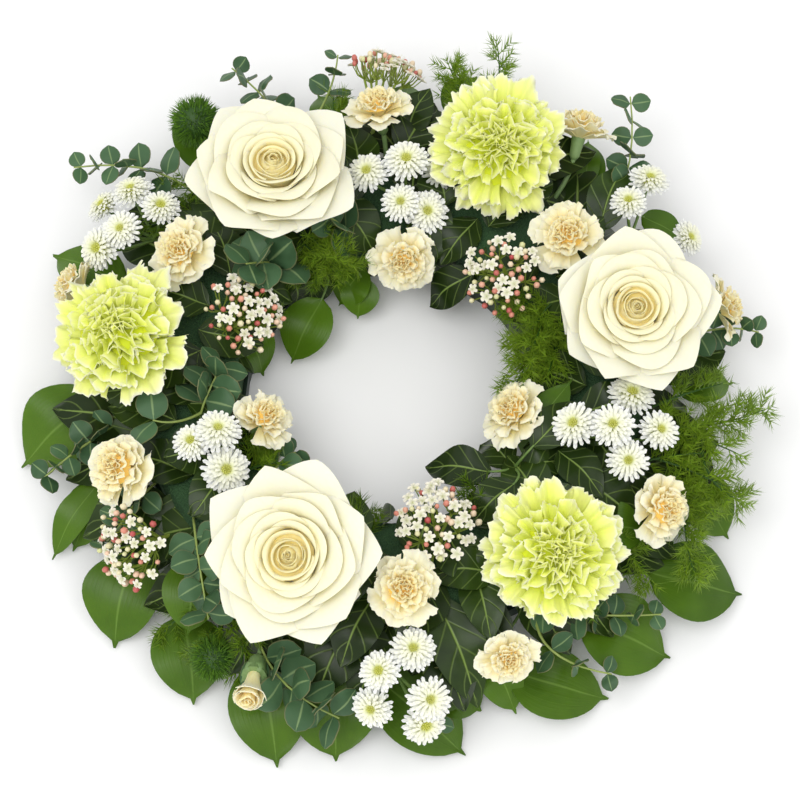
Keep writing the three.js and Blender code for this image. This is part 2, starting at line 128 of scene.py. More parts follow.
FLOOR_SIZE = 6000
floor_shape = bmesh.new()
bmesh.ops.create_grid(floor_shape, x_segments=1, y_segments=1, size=FLOOR_SIZE / 2)
floor_paint, tree = new_material("matt white studio floor")
# White and matt, so that it only shows the wreath's soft shadow.
give_shader(tree, {"Base Color": linear("FCFCFC"), "Roughness": 0.9, "Specular IOR Level": 0.2})
floor = new_object("floor", floor_shape, [floor_paint])


def area_light(name, size, power, place):
    """A square light, its size in metres and its power in watts, that shines at the wreath."""
    data = bpy.data.lights.new(name, "AREA")
    data.size = size
    data.energy = power
    light = bpy.data.objects.new(name, data)
    light.location = place
    light.rotation_euler = (aim - light.location).to_track_quat("-Z", "Y").to_euler()
    bpy.context.collection.objects.link(light)


area_light("key_light", 1.1, 13, Vector((-0.5, -0.5, 1.8)))
area_light("fill_light", 1.6, 7, Vector((0.6, -0.9, 1.8)))
room = bpy.data.worlds.new("white room")
room.use_nodes = True
room.node_tree.nodes["Background"].inputs["Color"].default_value = linear("FFFFFF")
room.node_tree.nodes["Background"].inputs["Strength"].default_value = 0.78
bpy.context.scene.world = room
bpy.context.scene.view_settings.view_transform = "Standard"

# ---------------------------------------------------------------------------------------
# Tray: a shallow channel of dark green polypropylene, moulded, that keeps the soaked foam
# from dripping. The foam drops into it with a finger-tight fit.

# A Mix node that mixes colours: the numbers of its sockets, which share their names.
A = 6
B = 7
COLOURS = {"out": 2, "data_type": "RGBA"}

tray_plastic, tree = new_material("moulded dark green polypropylene")
# Satin and almost black-green, with the fine grain of its mould.
place = add_node(tree, "TexCoord", out="Object")
GRAIN = 1 / 0.0008  # moulded texture, about 0.8 mm across
grain = add_node(tree, "TexNoise", {"Vector": place, "Scale": GRAIN, "Detail": 2.0})
shade = add_node(tree, "Mix", {"Factor": grain, A: linear("16291B"), B: linear("22392A")}, **COLOURS)
bump = add_node(tree, "Bump", {"Height": grain, "Strength": 0.15, "Distance": 0.0004})
give_shader(tree, {"Base Color": shade, "Normal": bump, "Roughness": 0.45, "IOR": 1.49})
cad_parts["tray"].data.materials.clear()
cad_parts["tray"].data.materials.append(tray_plastic)

# ---------------------------------------------------------------------------------------
# Foam ring: soaked green phenolic foam, open-celled and crumbly, with a socket pressed into
# it by each stem. Only glimpses of it show between the leaves.

foam_cells, tree = new_material("wet phenolic floral foam")
# Matt and pitted like a sponge, darker where the water stands in it.
place = add_node(tree, "TexCoord", out="Object")
CELL = 1 / 0.0011  # foam cells, drawn 1.1 mm across so that they show
cells = add_node(tree, "TexVoronoi", {"Vector": place, "Scale": CELL})
patches = add_node(tree, "TexNoise", {"Vector": place, "Scale": 60.0, "Detail": 3.0})
shade = add_node(tree, "Mix", {"Factor": patches, A: linear("1D3A20"), B: linear("365A31")}, **COLOURS)
bump = add_node(tree, "Bump", {"Height": cells, "Strength": 0.8, "Distance": 0.0009})
give_shader(tree, {"Base Color": shade, "Normal": bump, "Roughness": 0.85})
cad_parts["foam_ring"].data.materials.clear()
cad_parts["foam_ring"].data.materials.append(foam_cells)

# ---------------------------------------------------------------------------------------
# Rim twigs: broad-leaved ruscus, whose thick satin leaves end in a small drip tip. A wiry
# twig carries each one out of the foam's side, so that they lie round the wreath like a
# collar. One smaller twig points into the middle.

foam_low, foam_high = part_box("foam_ring")
ring_centre = (foam_low + foam_high) / 2 * 1000
TWIG = 1.4
PETIOLE = 1.0
BRANCHING = 0.9  # share of a twig's length at which its petioles or side stems leave it
BLADE_THICKNESS = 0.5
UP = Vector((0, 0, 1))


def ring(angle, radius, height):
    """The place, in millimetres, that ring coordinates give."""
    turn = math.radians(angle)
    flat = Vector((radius * math.cos(turn), radius * math.sin(turn), height))
    return flat + Vector((ring_centre.x, ring_centre.y, 0))


def on_curve(path, share):
    """The place and the direction at a share of the way along a three-point curve."""
    start, middle, end = path
    place = start * (1 - share) ** 2 + middle * 2 * share * (1 - share) + end * share**2
    return place, ((middle - start) * (1 - share) + (end - middle) * share).normalized()


def stem_path(foot, end, direction):
    """A stem that leaves its foot and arrives at its end along a direction."""
    return foot, end - direction * 0.45 * (end - foot).length, end


def rim_of(section):
    """The edges that join the corners of a section."""
    rim = dict.fromkeys(edge for corner in section for edge in corner.link_edges)
    return [edge for edge in rim if all(corner in section for corner in edge.verts)]


def sweep(bm, sections, sides):
    """Skins round sections, each a (place, direction, radius), and closes both ends."""
    section = bmesh.ops.create_circle(bm, cap_ends=True, segments=sides, radius=1)["verts"]
    before = Matrix.Identity(4)
    for i, (place, direction, radius) in enumerate(sections):
        size = Vector((radius, radius, radius))
        here = Matrix.LocRotScale(place, direction.to_track_quat("Z", "Y"), size)
        if i:
            grown = bmesh.ops.extrude_edge_only(bm, edges=rim_of(section))["geom"]
            section = [item for item in grown if isinstance(item, bmesh.types.BMVert)]
        bmesh.ops.transform(bm, matrix=here @ before.inverted(), verts=section)
        before = here
    bmesh.ops.contextual_create(bm, geom=rim_of(section))


def add_stem(bm, path, radius, taper=1.0, steps=6, sides=6):
    """A round stem along a path, whose radius shrinks to the share taper at its end."""
    sections = []
    for i in range(steps + 1):
        share = i / steps
        sections.append((*on_curve(path, share), radius * (1 + (taper - 1) * share)))
    sweep(bm, sections, sides)


def add_sheet(bm, columns, rows, thickness, shape):
    """Adds a thin slab and moves its corners to shape(across, along, lift).

    across runs from -1 to 1, along from 0 to 1, and lift through the thickness.
    """
    grid = bmesh.ops.create_grid(
        bm, x_segments=columns, y_segments=rows, size=1, calc_uvs=True
    )
    corners = grid["verts"]
    flat = list(dict.fromkeys(face for corner in corners for face in corner.link_faces))
    slab = bmesh.ops.solidify(bm, geom=flat, thickness=thickness)["geom"]
    corners += [item for item in slab if isinstance(item, bmesh.types.BMVert)]
    for corner in corners:
        corner.co = shape(corner.co.x, (corner.co.y + 1) / 2, corner.co.z)
    return corners


def new_piece():
    """An empty bmesh with a UV map and a tone, a number from 0 to 1 that varies its colour."""
    bm = bmesh.new()
    bm.loops.layers.uv.new("UVMap")
    bm.verts.layers.float.new("tone")
    return bm


def merge(bm, part):
    """Adds a small finished part to a larger piece, which is quicker than growing it there."""
    mesh = bpy.data.meshes.new("part")
    part.to_mesh(mesh)
    part.free()
    bm.from_mesh(mesh)
    bpy.data.meshes.remove(mesh)


def stand(place, axis):
    """The matrix that takes what stands upright at the origin to a place and an axis."""
    return Matrix.Translation(place) @ axis.to_track_quat("Z", "Y").to_matrix().to_4x4()


def place_part(part, base, axis, roll=0.0):
    """Moves a part made upright at the origin to its base, and turns it to its axis."""
    spot = stand(base, axis) @ Matrix.Rotation(roll, 4, "Z")
    bmesh.ops.transform(part, matrix=spot, verts=part.verts)


def set_tone(bm, corners, value):
    """Gives corners the tone from which a material takes their colour."""
    tone = bm.verts.layers.float["tone"]
    for corner in corners:
        corner[tone] = value


def drip_tip(along):
    """Half the width of a ruscus leaf: a full oval with a small point."""
    body = math.sin(math.pi * min(along / 0.93, 1) ** 0.85)
    return max(max(0, body) ** 0.62, 0.11 * (1 - along) / 0.1 if along > 0.9 else 0, 0.02)


def add_leaf(bm, base, tip, width, outline, chance, arch=6, roll=0, cup=0.12, rows=14):
    """A blade from its base to its tip, arched along its length and folded at the midrib."""
    length = (tip - base).length
    forward = (tip - base).normalized()
    face = (UP - forward * UP.dot(forward)).normalized()
    face.rotate(Matrix.Rotation(math.radians(roll), 3, forward))
    side = face.cross(forward)
    lean = chance.uniform(-0.05, 0.05) * length
    phase = chance.uniform(0, 6.28)
    ripple = chance.uniform(0.015, 0.035) * width

    def shape(across, along, lift):
        out = across * 0.5 * width * outline(along)
        rise = lift + 0.5 * arch * (1 - math.cos(2 * math.pi * along)) + cup * abs(out)
        rise += ripple * math.sin(9 * along + phase + 2 * across) * abs(across)
        sway = lean * math.sin(math.pi * along)
        return base + forward * length * along + side * (out + sway) + face * rise

    leaf = new_piece()
    set_tone(leaf, add_sheet(leaf, 8, rows, BLADE_THICKNESS, shape), chance.random())
    merge(bm, leaf)


def paint_from(bm, first, index):
    """Gives the faces made since there were `first` of them a material index."""
    bm.faces.ensure_lookup_table()
    for face in bm.faces[first:]:
        face.material_index = index


def stand_for(piece, node):
    """Lets a piece replace its plain solid: hangs it from the root and hides the solid."""
    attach(piece, "root")
    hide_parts(node)


def two_tone(tree, first, second):
    """A colour that goes from the first to the second as the tone goes from 0 to 1."""
    tone = add_node(tree, "Attribute", out="Fac", attribute_name="tone")
    return add_node(tree, "Mix", {"Factor": tone, A: linear(first), B: linear(second)}, **COLOURS)


def from_midrib(tree):
    """How far a place on a leaf is from its midrib: 0 there and 0.5 at the rim."""
    across = add_node(tree, "SeparateXYZ", {"Vector": add_node(tree, "UVMap")}, out="X")
    off_middle = add_node(tree, "Math", {0: across, 1: 0.5}, operation="SUBTRACT")
    return add_node(tree, "Math", {0: off_middle}, operation="ABSOLUTE")


def ribbed(tree, across, along, strength, depth):
    """The relief of fine lengthwise ribs, so many across a sheet and along it."""
    uv = add_node(tree, "UVMap")
    stretched = add_node(tree, "Mapping", {"Vector": uv, "Scale": (across, along, 1)})
    ribs = add_node(tree, "TexNoise", {"Vector": stretched, "Scale": 1.0})
    return add_node(tree, "Bump", {"Height": ribs, "Strength": strength, "Distance": depth})


ruscus, tree = new_material("satin ruscus leaf")
# A waxed leaf: fine veins run from end to end beside a slightly paler midrib, and the
# green goes from yellowish to deep from leaf to leaf.
place = add_node(tree, "TexCoord", out="Object")
patches = add_node(tree, "TexNoise", {"Vector": place, "Scale": 45.0, "Detail": 3.0})
shade = two_tone(tree, "466812", "2C4A0C")
shade = add_node(tree, "Mix", {"Factor": patches, A: shade, B: linear("587A1A")}, **COLOURS)
midrib = add_node(tree, "MapRange", {
    "Value": from_midrib(tree), "From Min": 0.0, "From Max": 0.025, "To Min": 0.5, "To Max": 0.0,
})
shade = add_node(tree, "Mix", {"Factor": midrib, A: shade, B: linear("7FA048")}, **COLOURS)
give_shader(tree, {
    "Base Color": shade,
    "Normal": ribbed(tree, 34, 1.2, 0.35, 0.0006),
    "Roughness": 0.34,
    "Specular IOR Level": 0.25,
    "Subsurface Weight": 0.08,
    "Subsurface Radius": (0.001, 0.002, 0.0005),
    "Subsurface Scale": 1.0,
})


def mottled(name, dark, light, patches, detail, roughness):
    """A smooth green skin, mottled by so many patches to a metre."""
    skin, tree = new_material(name)
    place = add_node(tree, "TexCoord", out="Object")
    mottle = add_node(tree, "TexNoise", {"Vector": place, "Scale": patches, "Detail": detail})
    shade = add_node(tree, "Mix", {"Factor": mottle, A: linear(dark), B: linear(light)}, **COLOURS)
    give_shader(tree, {"Base Color": shade, "Roughness": roughness})
    return skin


# Young wood, satin, its green flecked with a paler one.
twig_skin = mottled("smooth green twig", "4B6B2E", "83A052", 180, 3.0, 0.5)


def add_leaves(bm, leaves, outline, chance):
    """Blades, each listed by its base, its tip, its width and, where it's given, its arch."""
    for base, tip, width, *arch in leaves:
        add_leaf(bm, ring(*base), ring(*tip), width, outline, chance, *arch)


def add_petioles(bm, leaves, crotch, taper):
    """A short stalk from the crotch into the base of each blade."""
    for base, tip, *_ in leaves:
        inward = (ring(*tip) - ring(*base)).normalized()
        add_stem(bm, stem_path(crotch, ring(*base) + inward * 2, inward), PETIOLE, taper)


def twig_piece(name, foot, fork, leaves, outline, materials):
    """One twig with its blades, thick enough to see, each on a petiole from the fork."""
    chance = random.Random(name)
    twig = new_piece()
    add_leaves(twig, leaves, outline, chance)
    blades = len(twig.faces)
    root = ring(*foot)
    end = ring(*fork)
    trunk = stem_path(root, end, (end - root).normalized())
    add_stem(twig, trunk, TWIG)
    add_petioles(twig, leaves, on_curve(trunk, BRANCHING)[0], 0.6)
    paint_from(twig, blades, 1)
    return new_object(name, twig, materials)


# Each twig: foot and fork, then its leaves.
RIM_TWIGS = [
    ((45, 141, 24), (45, 160, 28), [
        ((47, 176, 28), (54, 211, 22), 26), ((36, 190, 34), (29, 207, 24), 20, 3)]),
    ((80, 141, 24), (80, 160, 28), [
        ((78, 186, 30), (76, 224, 24), 30), ((88, 176, 30), (87, 212, 26), 24)]),
    ((127, 141, 24), (127, 162, 28), [((127, 180, 30), (124, 237, 24), 38)]),
    ((158, 141, 24), (158, 160, 26), [((158, 176, 28), (156, 230, 16), 34)]),
    ((191, 141, 24), (191, 160, 25), [
        ((182, 174, 26), (191, 226, 5), 50), ((199, 182, 24), (207, 224, 6), 20)]),
    ((222, 141, 24), (222, 160, 25), [
        ((215, 180, 24), (224, 223, 4), 46), ((229, 184, 18), (239, 220, 4), 44)]),
    ((252, 141, 24), (252, 160, 25), [
        ((246, 184, 22), (254, 234, 4), 46), ((259, 180, 26), (262, 224, 6), 48)]),
    ((277, 141, 24), (277, 160, 24), [((268, 178, 18), (281, 222, 4), 44)]),
    ((298, 141, 24), (298, 160, 25), [
        ((291, 184, 20), (304, 223, 4), 42), ((307, 180, 26), (315, 228, 5), 48)]),
    ((332, 141, 24), (332, 160, 26), [
        ((322, 188, 26), (329, 239, 6), 48), ((342, 180, 24), (336, 218, 6), 34)]),
]
for i, rim_twig in enumerate(RIM_TWIGS, start=1):
    twig = twig_piece(f"ruscus_twig_{i}", *rim_twig, drip_tip, [ruscus, twig_skin])
    stand_for(twig, f"leaf_twig_{i}")

inner_leaves = [((126, 72, 28), (159, 66, 8), 32), ((104, 76, 26), (112, 56, 12), 24, 3)]
inner_twig = ((116, 98, 24), (116, 84, 30), inner_leaves)
twig = twig_piece("ruscus_twig_inner", *inner_twig, drip_tip, [ruscus, twig_skin])
stand_for(twig, "inner_leaf_twig")

# ---------------------------------------------------------------------------------------
# Dark leaves: leathery salal with a pale yellow midrib and side veins. One twig leans into
# the middle, and loose leaves are pushed in between the stems until no foam shows.


def long_point(along):
    """Half the width of a salal leaf: widest below the middle, drawn out to its tip."""
    return max(max(0, math.sin(math.pi * along**0.8)) ** 0.8, 0.03)


salal, tree = new_material("leathery salal leaf")
# A dark, glossy leaf whose midrib and side veins are yellowish and slightly sunken.
off_middle = from_midrib(tree)
midrib = add_node(tree, "MapRange", {
    "Value": off_middle, "From Min": 0.008, "From Max": 0.03, "To Min": 1.0, "To Max": 0.0,
})
SIDE_VEINS = 9  # pairs along a leaf, each running forward as it goes out
along = add_node(tree, "SeparateXYZ", {"Vector": add_node(tree, "UVMap")}, out="Y")
rise = add_node(tree, "Math", {0: off_middle, 1: -0.55}, operation="MULTIPLY")
rise = add_node(tree, "Math", {0: along, 1: rise})
rise = add_node(tree, "Math", {0: rise, 1: SIDE_VEINS}, operation="MULTIPLY")
rise = add_node(tree, "Math", {0: rise, 1: 1.0}, operation="PINGPONG")
vein = add_node(tree, "MapRange", {
    "Value": rise, "From Min": 0.0, "From Max": 0.16, "To Min": 0.45, "To Max": 0.0,
})
veins = add_node(tree, "Math", {0: midrib, 1: vein}, operation="MAXIMUM")
place = add_node(tree, "TexCoord", out="Object")
patches = add_node(tree, "TexNoise", {"Vector": place, "Scale": 60.0, "Detail": 4.0})
shade = two_tone(tree, "24340E", "3C541A")
shade = add_node(tree, "Mix", {"Factor": patches, A: linear("14240C"), B: shade}, **COLOURS)
shade = add_node(tree, "Mix", {"Factor": veins, A: shade, B: linear("7C9448")}, **COLOURS)
sunken = {"Height": veins, "Strength": 0.5, "Distance": 0.0005}
bump = add_node(tree, "Bump", sunken, invert=True)
give_shader(tree, {
    "Base Color": shade,
    "Normal": bump,
    "Roughness": 0.3,
    "Specular IOR Level": 0.25,
})

dark_leaves = [
    ((312, 86, 52), (290, 58, 34), 26),
    ((314, 102, 60), (296, 106, 54), 24),
    ((327, 96, 60), (348, 110, 58), 24, 4),
]
dark_twig = ((320, 98, 26), (320, 92, 48), dark_leaves)
twig = twig_piece("salal_twig", *dark_twig, long_point, [salal, twig_skin])
stand_for(twig, "dark_leaf_twig")


def loose_leaves(name, leaves, outline, material):
    """Single leaves of one kind, which add to the solids and replace none of them."""
    spray = new_piece()
    add_leaves(spray, leaves, outline, random.Random(name))
    piece = new_object(name, spray, [material])
    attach(piece, "root")


BROAD_BETWEEN = [
    ((48, 178, 30), (54, 210, 26), 16),
    ((198, 178, 16), (207, 211, 4), 30),
    ((225, 159, 40), (233, 193, 26), 34),
    ((279, 180, 12), (285, 199, 4), 34),
    ((320, 150, 48), (327, 176, 42), 30),
    ((102, 82, 28), (118, 70, 10), 26),
    ((100, 176, 26), (103, 212, 20), 26),
    ((60, 174, 26), (62, 208, 18), 28),
    ((17, 168, 26), (15, 204, 18), 28),
    ((0, 170, 26), (2, 206, 16), 26),
    ((144, 172, 24), (141, 208, 14), 28),
    ((170, 170, 22), (172, 206, 10), 28),
    ((327, 92, 40), (356, 106, 56), 24),
    ((160, 100, 44), (170, 79, 12), 28),
    ((287, 168, 30), (290, 208, 10), 28),
]
loose_leaves("ruscus_leaves_between", BROAD_BETWEEN, drip_tip, ruscus)

DARK_BETWEEN = [
    ((37, 158, 46), (44, 200, 50), 26),
    ((87, 158, 46), (83, 193, 52), 24),
    ((295, 139, 56), (280, 128, 50), 26),
    ((319, 95, 46), (332, 116, 48), 24),
    ((321, 90, 44), (324, 65, 30), 24),
    ((318, 138, 50), (322, 172, 44), 24),
    ((345, 112, 56), (352, 148, 60), 28),
    ((266, 138, 50), (261, 180, 44), 30),
    ((88, 150, 46), (82, 188, 44), 30),
    ((58, 158, 46), (50, 196, 46), 30),
]
loose_leaves("salal_leaves_between", DARK_BETWEEN, long_point, salal)

# Cover for the foam: rows of leaves laid like tiles, over the top and down both walls.
COVER_ROWS = [
    # count, radius and height of the base, radius and height of the tip, width
    ("over_top_outer", 22, 128, 50, 168, 44, 30),
    ("over_top_middle", 25, 112, 54, 146, 56, 28),
    ("over_top_inner", 17, 118, 52, 82, 42, 28),
    ("down_inside", 19, 96, 46, 85, 8, 27),
    ("down_outside", 26, 146, 42, 176, 16, 30),
    ("skirt", 36, 150, 34, 198, 26, 32),
]
for name, count, base_radius, base_height, tip_radius, tip_height, width in COVER_ROWS:
    chance = random.Random(name)
    row = []
    for i in range(count):
        angle = (i + chance.uniform(-0.3, 0.3)) * 360 / count
        swing = chance.uniform(-12, 12)
        base = (angle, base_radius + chance.uniform(-5, 5), base_height + chance.uniform(-2, 4))
        tip = (angle + swing, tip_radius + chance.uniform(-6, 6), tip_height + chance.uniform(-4, 4))
        row.append((base, tip, width * chance.uniform(0.85, 1.15), 4))
    loose_leaves("salal_" + name, row, long_point, salal)

# ---------------------------------------------------------------------------------------
# Eucalyptus: wiry yellow-green stems with round, waxy blue-grey leaves in opposite pairs,
# each pair a quarter turn on from the last and smaller towards the tip.


def coin(along):
    """Half the width of a eucalyptus leaf: almost a disc, a little drawn out at its tip."""
    return max(max(0, math.sin(math.pi * along**0.92)) ** 0.55, 0.06)


gum_leaf, tree = new_material("waxy blue-grey eucalyptus leaf")
# The wax bloom makes the leaf matt and bluish, and it is thinner over the pale midrib.
off_middle = from_midrib(tree)
midrib = add_node(tree, "MapRange", {
    "Value": off_middle, "From Min": 0.01, "From Max": 0.05, "To Min": 0.6, "To Max": 0.0,
})
rim = add_node(tree, "MapRange", {
    "Value": off_middle, "From Min": 0.46, "From Max": 0.5, "To Min": 0.0, "To Max": 0.5,
})
place = add_node(tree, "TexCoord", out="Object")
wax = add_node(tree, "TexNoise", {"Vector": place, "Scale": 120.0, "Detail": 4.0})
shade = two_tone(tree, "2A4626", "557650")
shade = add_node(tree, "Mix", {"Factor": wax, A: shade, B: linear("486848")}, **COLOURS)
shade = add_node(tree, "Mix", {"Factor": midrib, A: shade, B: linear("98B078")}, **COLOURS)
shade = add_node(tree, "Mix", {"Factor": rim, A: shade, B: linear("8E8258")}, **COLOURS)
give_shader(tree, {"Base Color": shade, "Roughness": 0.45, "Specular IOR Level": 0.25})

BARK = "young yellow-green eucalyptus bark"
# Smooth, satin and much yellower than the leaves.
gum_bark = mottled(BARK, "7E9442", "A9B868", 90, 2.0, 0.5)


def gum_pairs(bm, path, pairs, start, big, small, chance):
    """Opposite pairs of round leaves along a path, from a share of it to its tip."""
    last = 2 * pairs - 2  # every second pair stands crosswise between two others
    for i in range(last + 1):
        share = i / max(last, 1)
        radius = (big + (small - big) * share) * chance.uniform(0.9, 1.08)
        stem, forward = on_curve(path, start + (0.97 - start) * share)
        side = forward.cross(UP).normalized()
        side.rotate(Matrix.Rotation((i % 2) * math.pi / 2.6 + chance.uniform(-0.3, 0.3), 3, forward))
        for hand in (-1, 1):
            outward = (side * hand + forward * chance.uniform(0.1, 0.45)).normalized()
            outward = (outward + UP * chance.uniform(-0.1, 0.25)).normalized()
            blade = (stem + outward * 0.6, stem + outward * 2 * radius, 1.9 * radius)
            roll = chance.uniform(-55, 55)
            add_leaf(bm, *blade, coin, chance, 0.12 * radius, roll, cup=-0.1, rows=7)


def gum_sprig(name, foot, bend, tip, pairs, forks=()):
    """A main stem and its forks, with their leaves."""
    chance = random.Random(name)
    sprig = new_piece()
    paths = [((ring(*foot), ring(*bend), ring(*tip)), pairs)]
    for share, fork_bend, fork_tip, fork_pairs in forks:
        start = on_curve(paths[0][0], share)[0]
        paths.append(((start, ring(*fork_bend), ring(*fork_tip)), fork_pairs))
    for path, (count, start, big, small) in paths:
        gum_pairs(sprig, path, count, start, big, small, chance)
    blades = len(sprig.faces)
    for path, _ in paths:
        add_stem(sprig, path, PETIOLE, taper=0.5, steps=10)
    paint_from(sprig, blades, 1)
    return new_object(name, sprig, [gum_leaf, gum_bark])


# Each sprig: foot, bend and tip, then (pairs, where they start, big and small radius), then
# its forks, each starting at a share of the main stem.
GUM_SPRIGS = [
    ((137, 138, 22), (129, 190, 52), (145, 238, 50), (4, 0.55, 9, 6)),
    ((110, 136, 20), (108, 180, 44), (116, 228, 54), (3, 0.62, 9, 6), [
        (0.4, (101, 190, 46), (99, 216, 56), (2, 0.6, 7, 5))]),
    ((42, 138, 22), (34, 185, 50), (51, 234, 58), (4, 0.5, 8, 6)),
    ((132, 104, 20), (130, 94, 56), (146, 103, 76), (3, 0.6, 13, 9)),
    ((194, 114, 20), (200, 124, 68), (181, 98, 65), (3, 0.65, 10, 8), [
        (0.5, (198, 130, 62), (195, 142, 64), (1, 0.97, 10, 9))]),
    ((187, 138, 22), (189, 170, 40), (197, 212, 36), (4, 0.45, 8, 6)),
    ((213, 138, 22), (222, 150, 84), (236, 183, 50), (4, 0.5, 9, 8)),
    ((237, 138, 20), (244, 202, 48), (262, 207, 37), (4, 0.5, 11, 9)),
    ((294, 138, 22), (300, 175, 46), (317, 210, 32), (4, 0.4, 8, 5), [
        (0.35, (294, 190, 44), (305, 217, 30), (2, 0.5, 7, 5))]),
]
for i, sprig in enumerate(GUM_SPRIGS, start=1):
    piece = gum_sprig(f"gum_sprig_{i}", *sprig)
    stand_for(piece, f"eucalyptus_sprig_{i}")

SMALL_GUM_SPRIGS = [
    ((106, 96, 40), (106, 92, 62), (112, 100, 68), (2, 0.4, 11, 8)),
    ((4, 140, 30), (12, 190, 44), (8, 222, 38), (3, 0.5, 8, 5)),
    ((279, 140, 26), (280, 170, 34), (277, 208, 24), (3, 0.4, 7, 5)),
    ((224, 100, 44), (222, 90, 58), (221, 74, 44), (2, 0.5, 8, 6)),
    ((203, 140, 30), (208, 168, 52), (214, 196, 46), (3, 0.4, 8, 6)),
]
for i, sprig in enumerate(SMALL_GUM_SPRIGS, start=1):
    piece = gum_sprig(f"gum_sprig_small_{i}", *sprig)
    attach(piece, "root")

# ---------------------------------------------------------------------------------------
# Asparagus fern: wiry fronds whose short side branches carry whorls of soft needles.

fern_green, tree = new_material("soft asparagus fern needle")
# Soft and a little translucent. Its tone is painted light and shade: deep green where the fronds lie
# low in shade, yellow-green where they are in the light.
give_shader(tree, {
    "Base Color": two_tone(tree, "2F560A", "8DAE26"),
    "Roughness": 0.5,
    "Subsurface Weight": 0.15,
    "Subsurface Radius": (0.001, 0.0015, 0.0005),
    "Subsurface Scale": 1.0,
})


def add_needle(bm, place, direction, length, thickness):
    """A three-sided needle from its place to a point, and returns its corners."""
    spot = stand(place + direction * length / 2, direction)
    needle = bmesh.ops.create_cone(
        bm, cap_ends=True, segments=3, radius1=thickness, radius2=0, depth=length, matrix=spot
    )
    return needle["verts"]


def any_direction(chance):
    """A direction drawn evenly from the whole sphere."""
    height = chance.uniform(-1, 1)
    turn = chance.uniform(0, 2 * math.pi)
    flat = math.sqrt(1 - height**2)
    return Vector((flat * math.cos(turn), flat * math.sin(turn), height))


NEEDLE = 0.36
STALK = 0.5
WHORL_STEP = 2.8
NEEDLES_A_WHORL = 7


# shade is the tone of a frond's needles, painted light and shade; each needle is a little lighter or
# darker at random.
def fern_branchlet(bm, start, end, needle_length, chance, shade):
    """One side branch: a thin stalk with whorls of needles that lean forward."""
    part = new_piece()
    reach = end - start
    forward = reach.normalized()
    set_tone(part, add_needle(part, start, forward, reach.length, STALK), shade)
    whorls = max(2, round(reach.length / WHORL_STEP))
    for i in range(1, whorls + 1):
        for _ in range(NEEDLES_A_WHORL):
            out = any_direction(chance)
            out = (out - forward * out.dot(forward)).normalized()
            direction = (out + forward * chance.uniform(0.7, 1.5)).normalized()
            length = needle_length * chance.uniform(0.75, 1.15) * (1.15 - 0.3 * i / whorls)
            corners = add_needle(part, start + reach * i / whorls, direction, length, NEEDLE)
            set_tone(part, corners, min(max(shade + chance.uniform(-0.25, 0.25), 0), 1))
    merge(bm, part)


def fern_frond(bm, path, size, chance, shade=0.6, start=0.35, branchlets=24):
    """A wiry stem with side branches that start at a share of its length."""
    add_stem(bm, path, PETIOLE, taper=0.35, steps=8, sides=5)
    for i in range(branchlets):
        share = start + (1 - start) * (i + 0.5) / branchlets
        stalk, forward = on_curve(path, share)
        out = any_direction(chance)
        out = (out - forward * out.dot(forward)).normalized()
        out = Vector((out.x, out.y, 0.6 * out.z)).normalized()
        direction = (out + forward * chance.uniform(0.5, 0.9)).normalized()
        reach = size * chance.uniform(1.2, 1.9) * (1.1 - 0.5 * (share - start) / (1 - start))
        fern_branchlet(bm, stalk, stalk + direction * reach, 0.95 * size, chance, shade)
    tip, forward = on_curve(path, 1)
    fern_branchlet(bm, tip, tip + forward * size * 0.6, 0.8 * size, chance, shade)


SOCKET_FOOT = 18  # how high the foot of a stem ends in its socket
# Each sprig: angle and radius of its foot, bend and tip of each frond, length of a needle.
FERN_SPRIGS = [
    ((71, 136), [((68, 190, 50), (73, 226, 58)), ((77, 190, 52), (80, 208, 54))], 9),
    ((112, 106), [((116, 70, 56), (117, 80, 62))], 9),
    ((22, 106), [((14, 98, 74), (353, 72, 46))], 10),
    ((349, 136), [
        ((348, 190, 52), (354, 219, 46)),
        ((338, 190, 48), (339, 217, 40)),
        ((330, 186, 44), (325, 212, 38))], 10),
]
for i, (foot, fronds, size) in enumerate(FERN_SPRIGS, start=1):
    chance = random.Random(f"fern_{i}")
    fern = new_piece()
    root = ring(*foot, SOCKET_FOOT)
    main = (root, ring(*fronds[0][0]), ring(*fronds[0][1]))
    fern_frond(fern, main, size, chance)
    for middle, end in fronds[1:]:
        branch = (on_curve(main, 0.5)[0], ring(*middle), ring(*end))
        fern_frond(fern, branch, size, chance)
    piece = new_object(f"fern_plume_{i}", fern, [fern_green])
    stand_for(piece, f"fern_sprig_{i}")
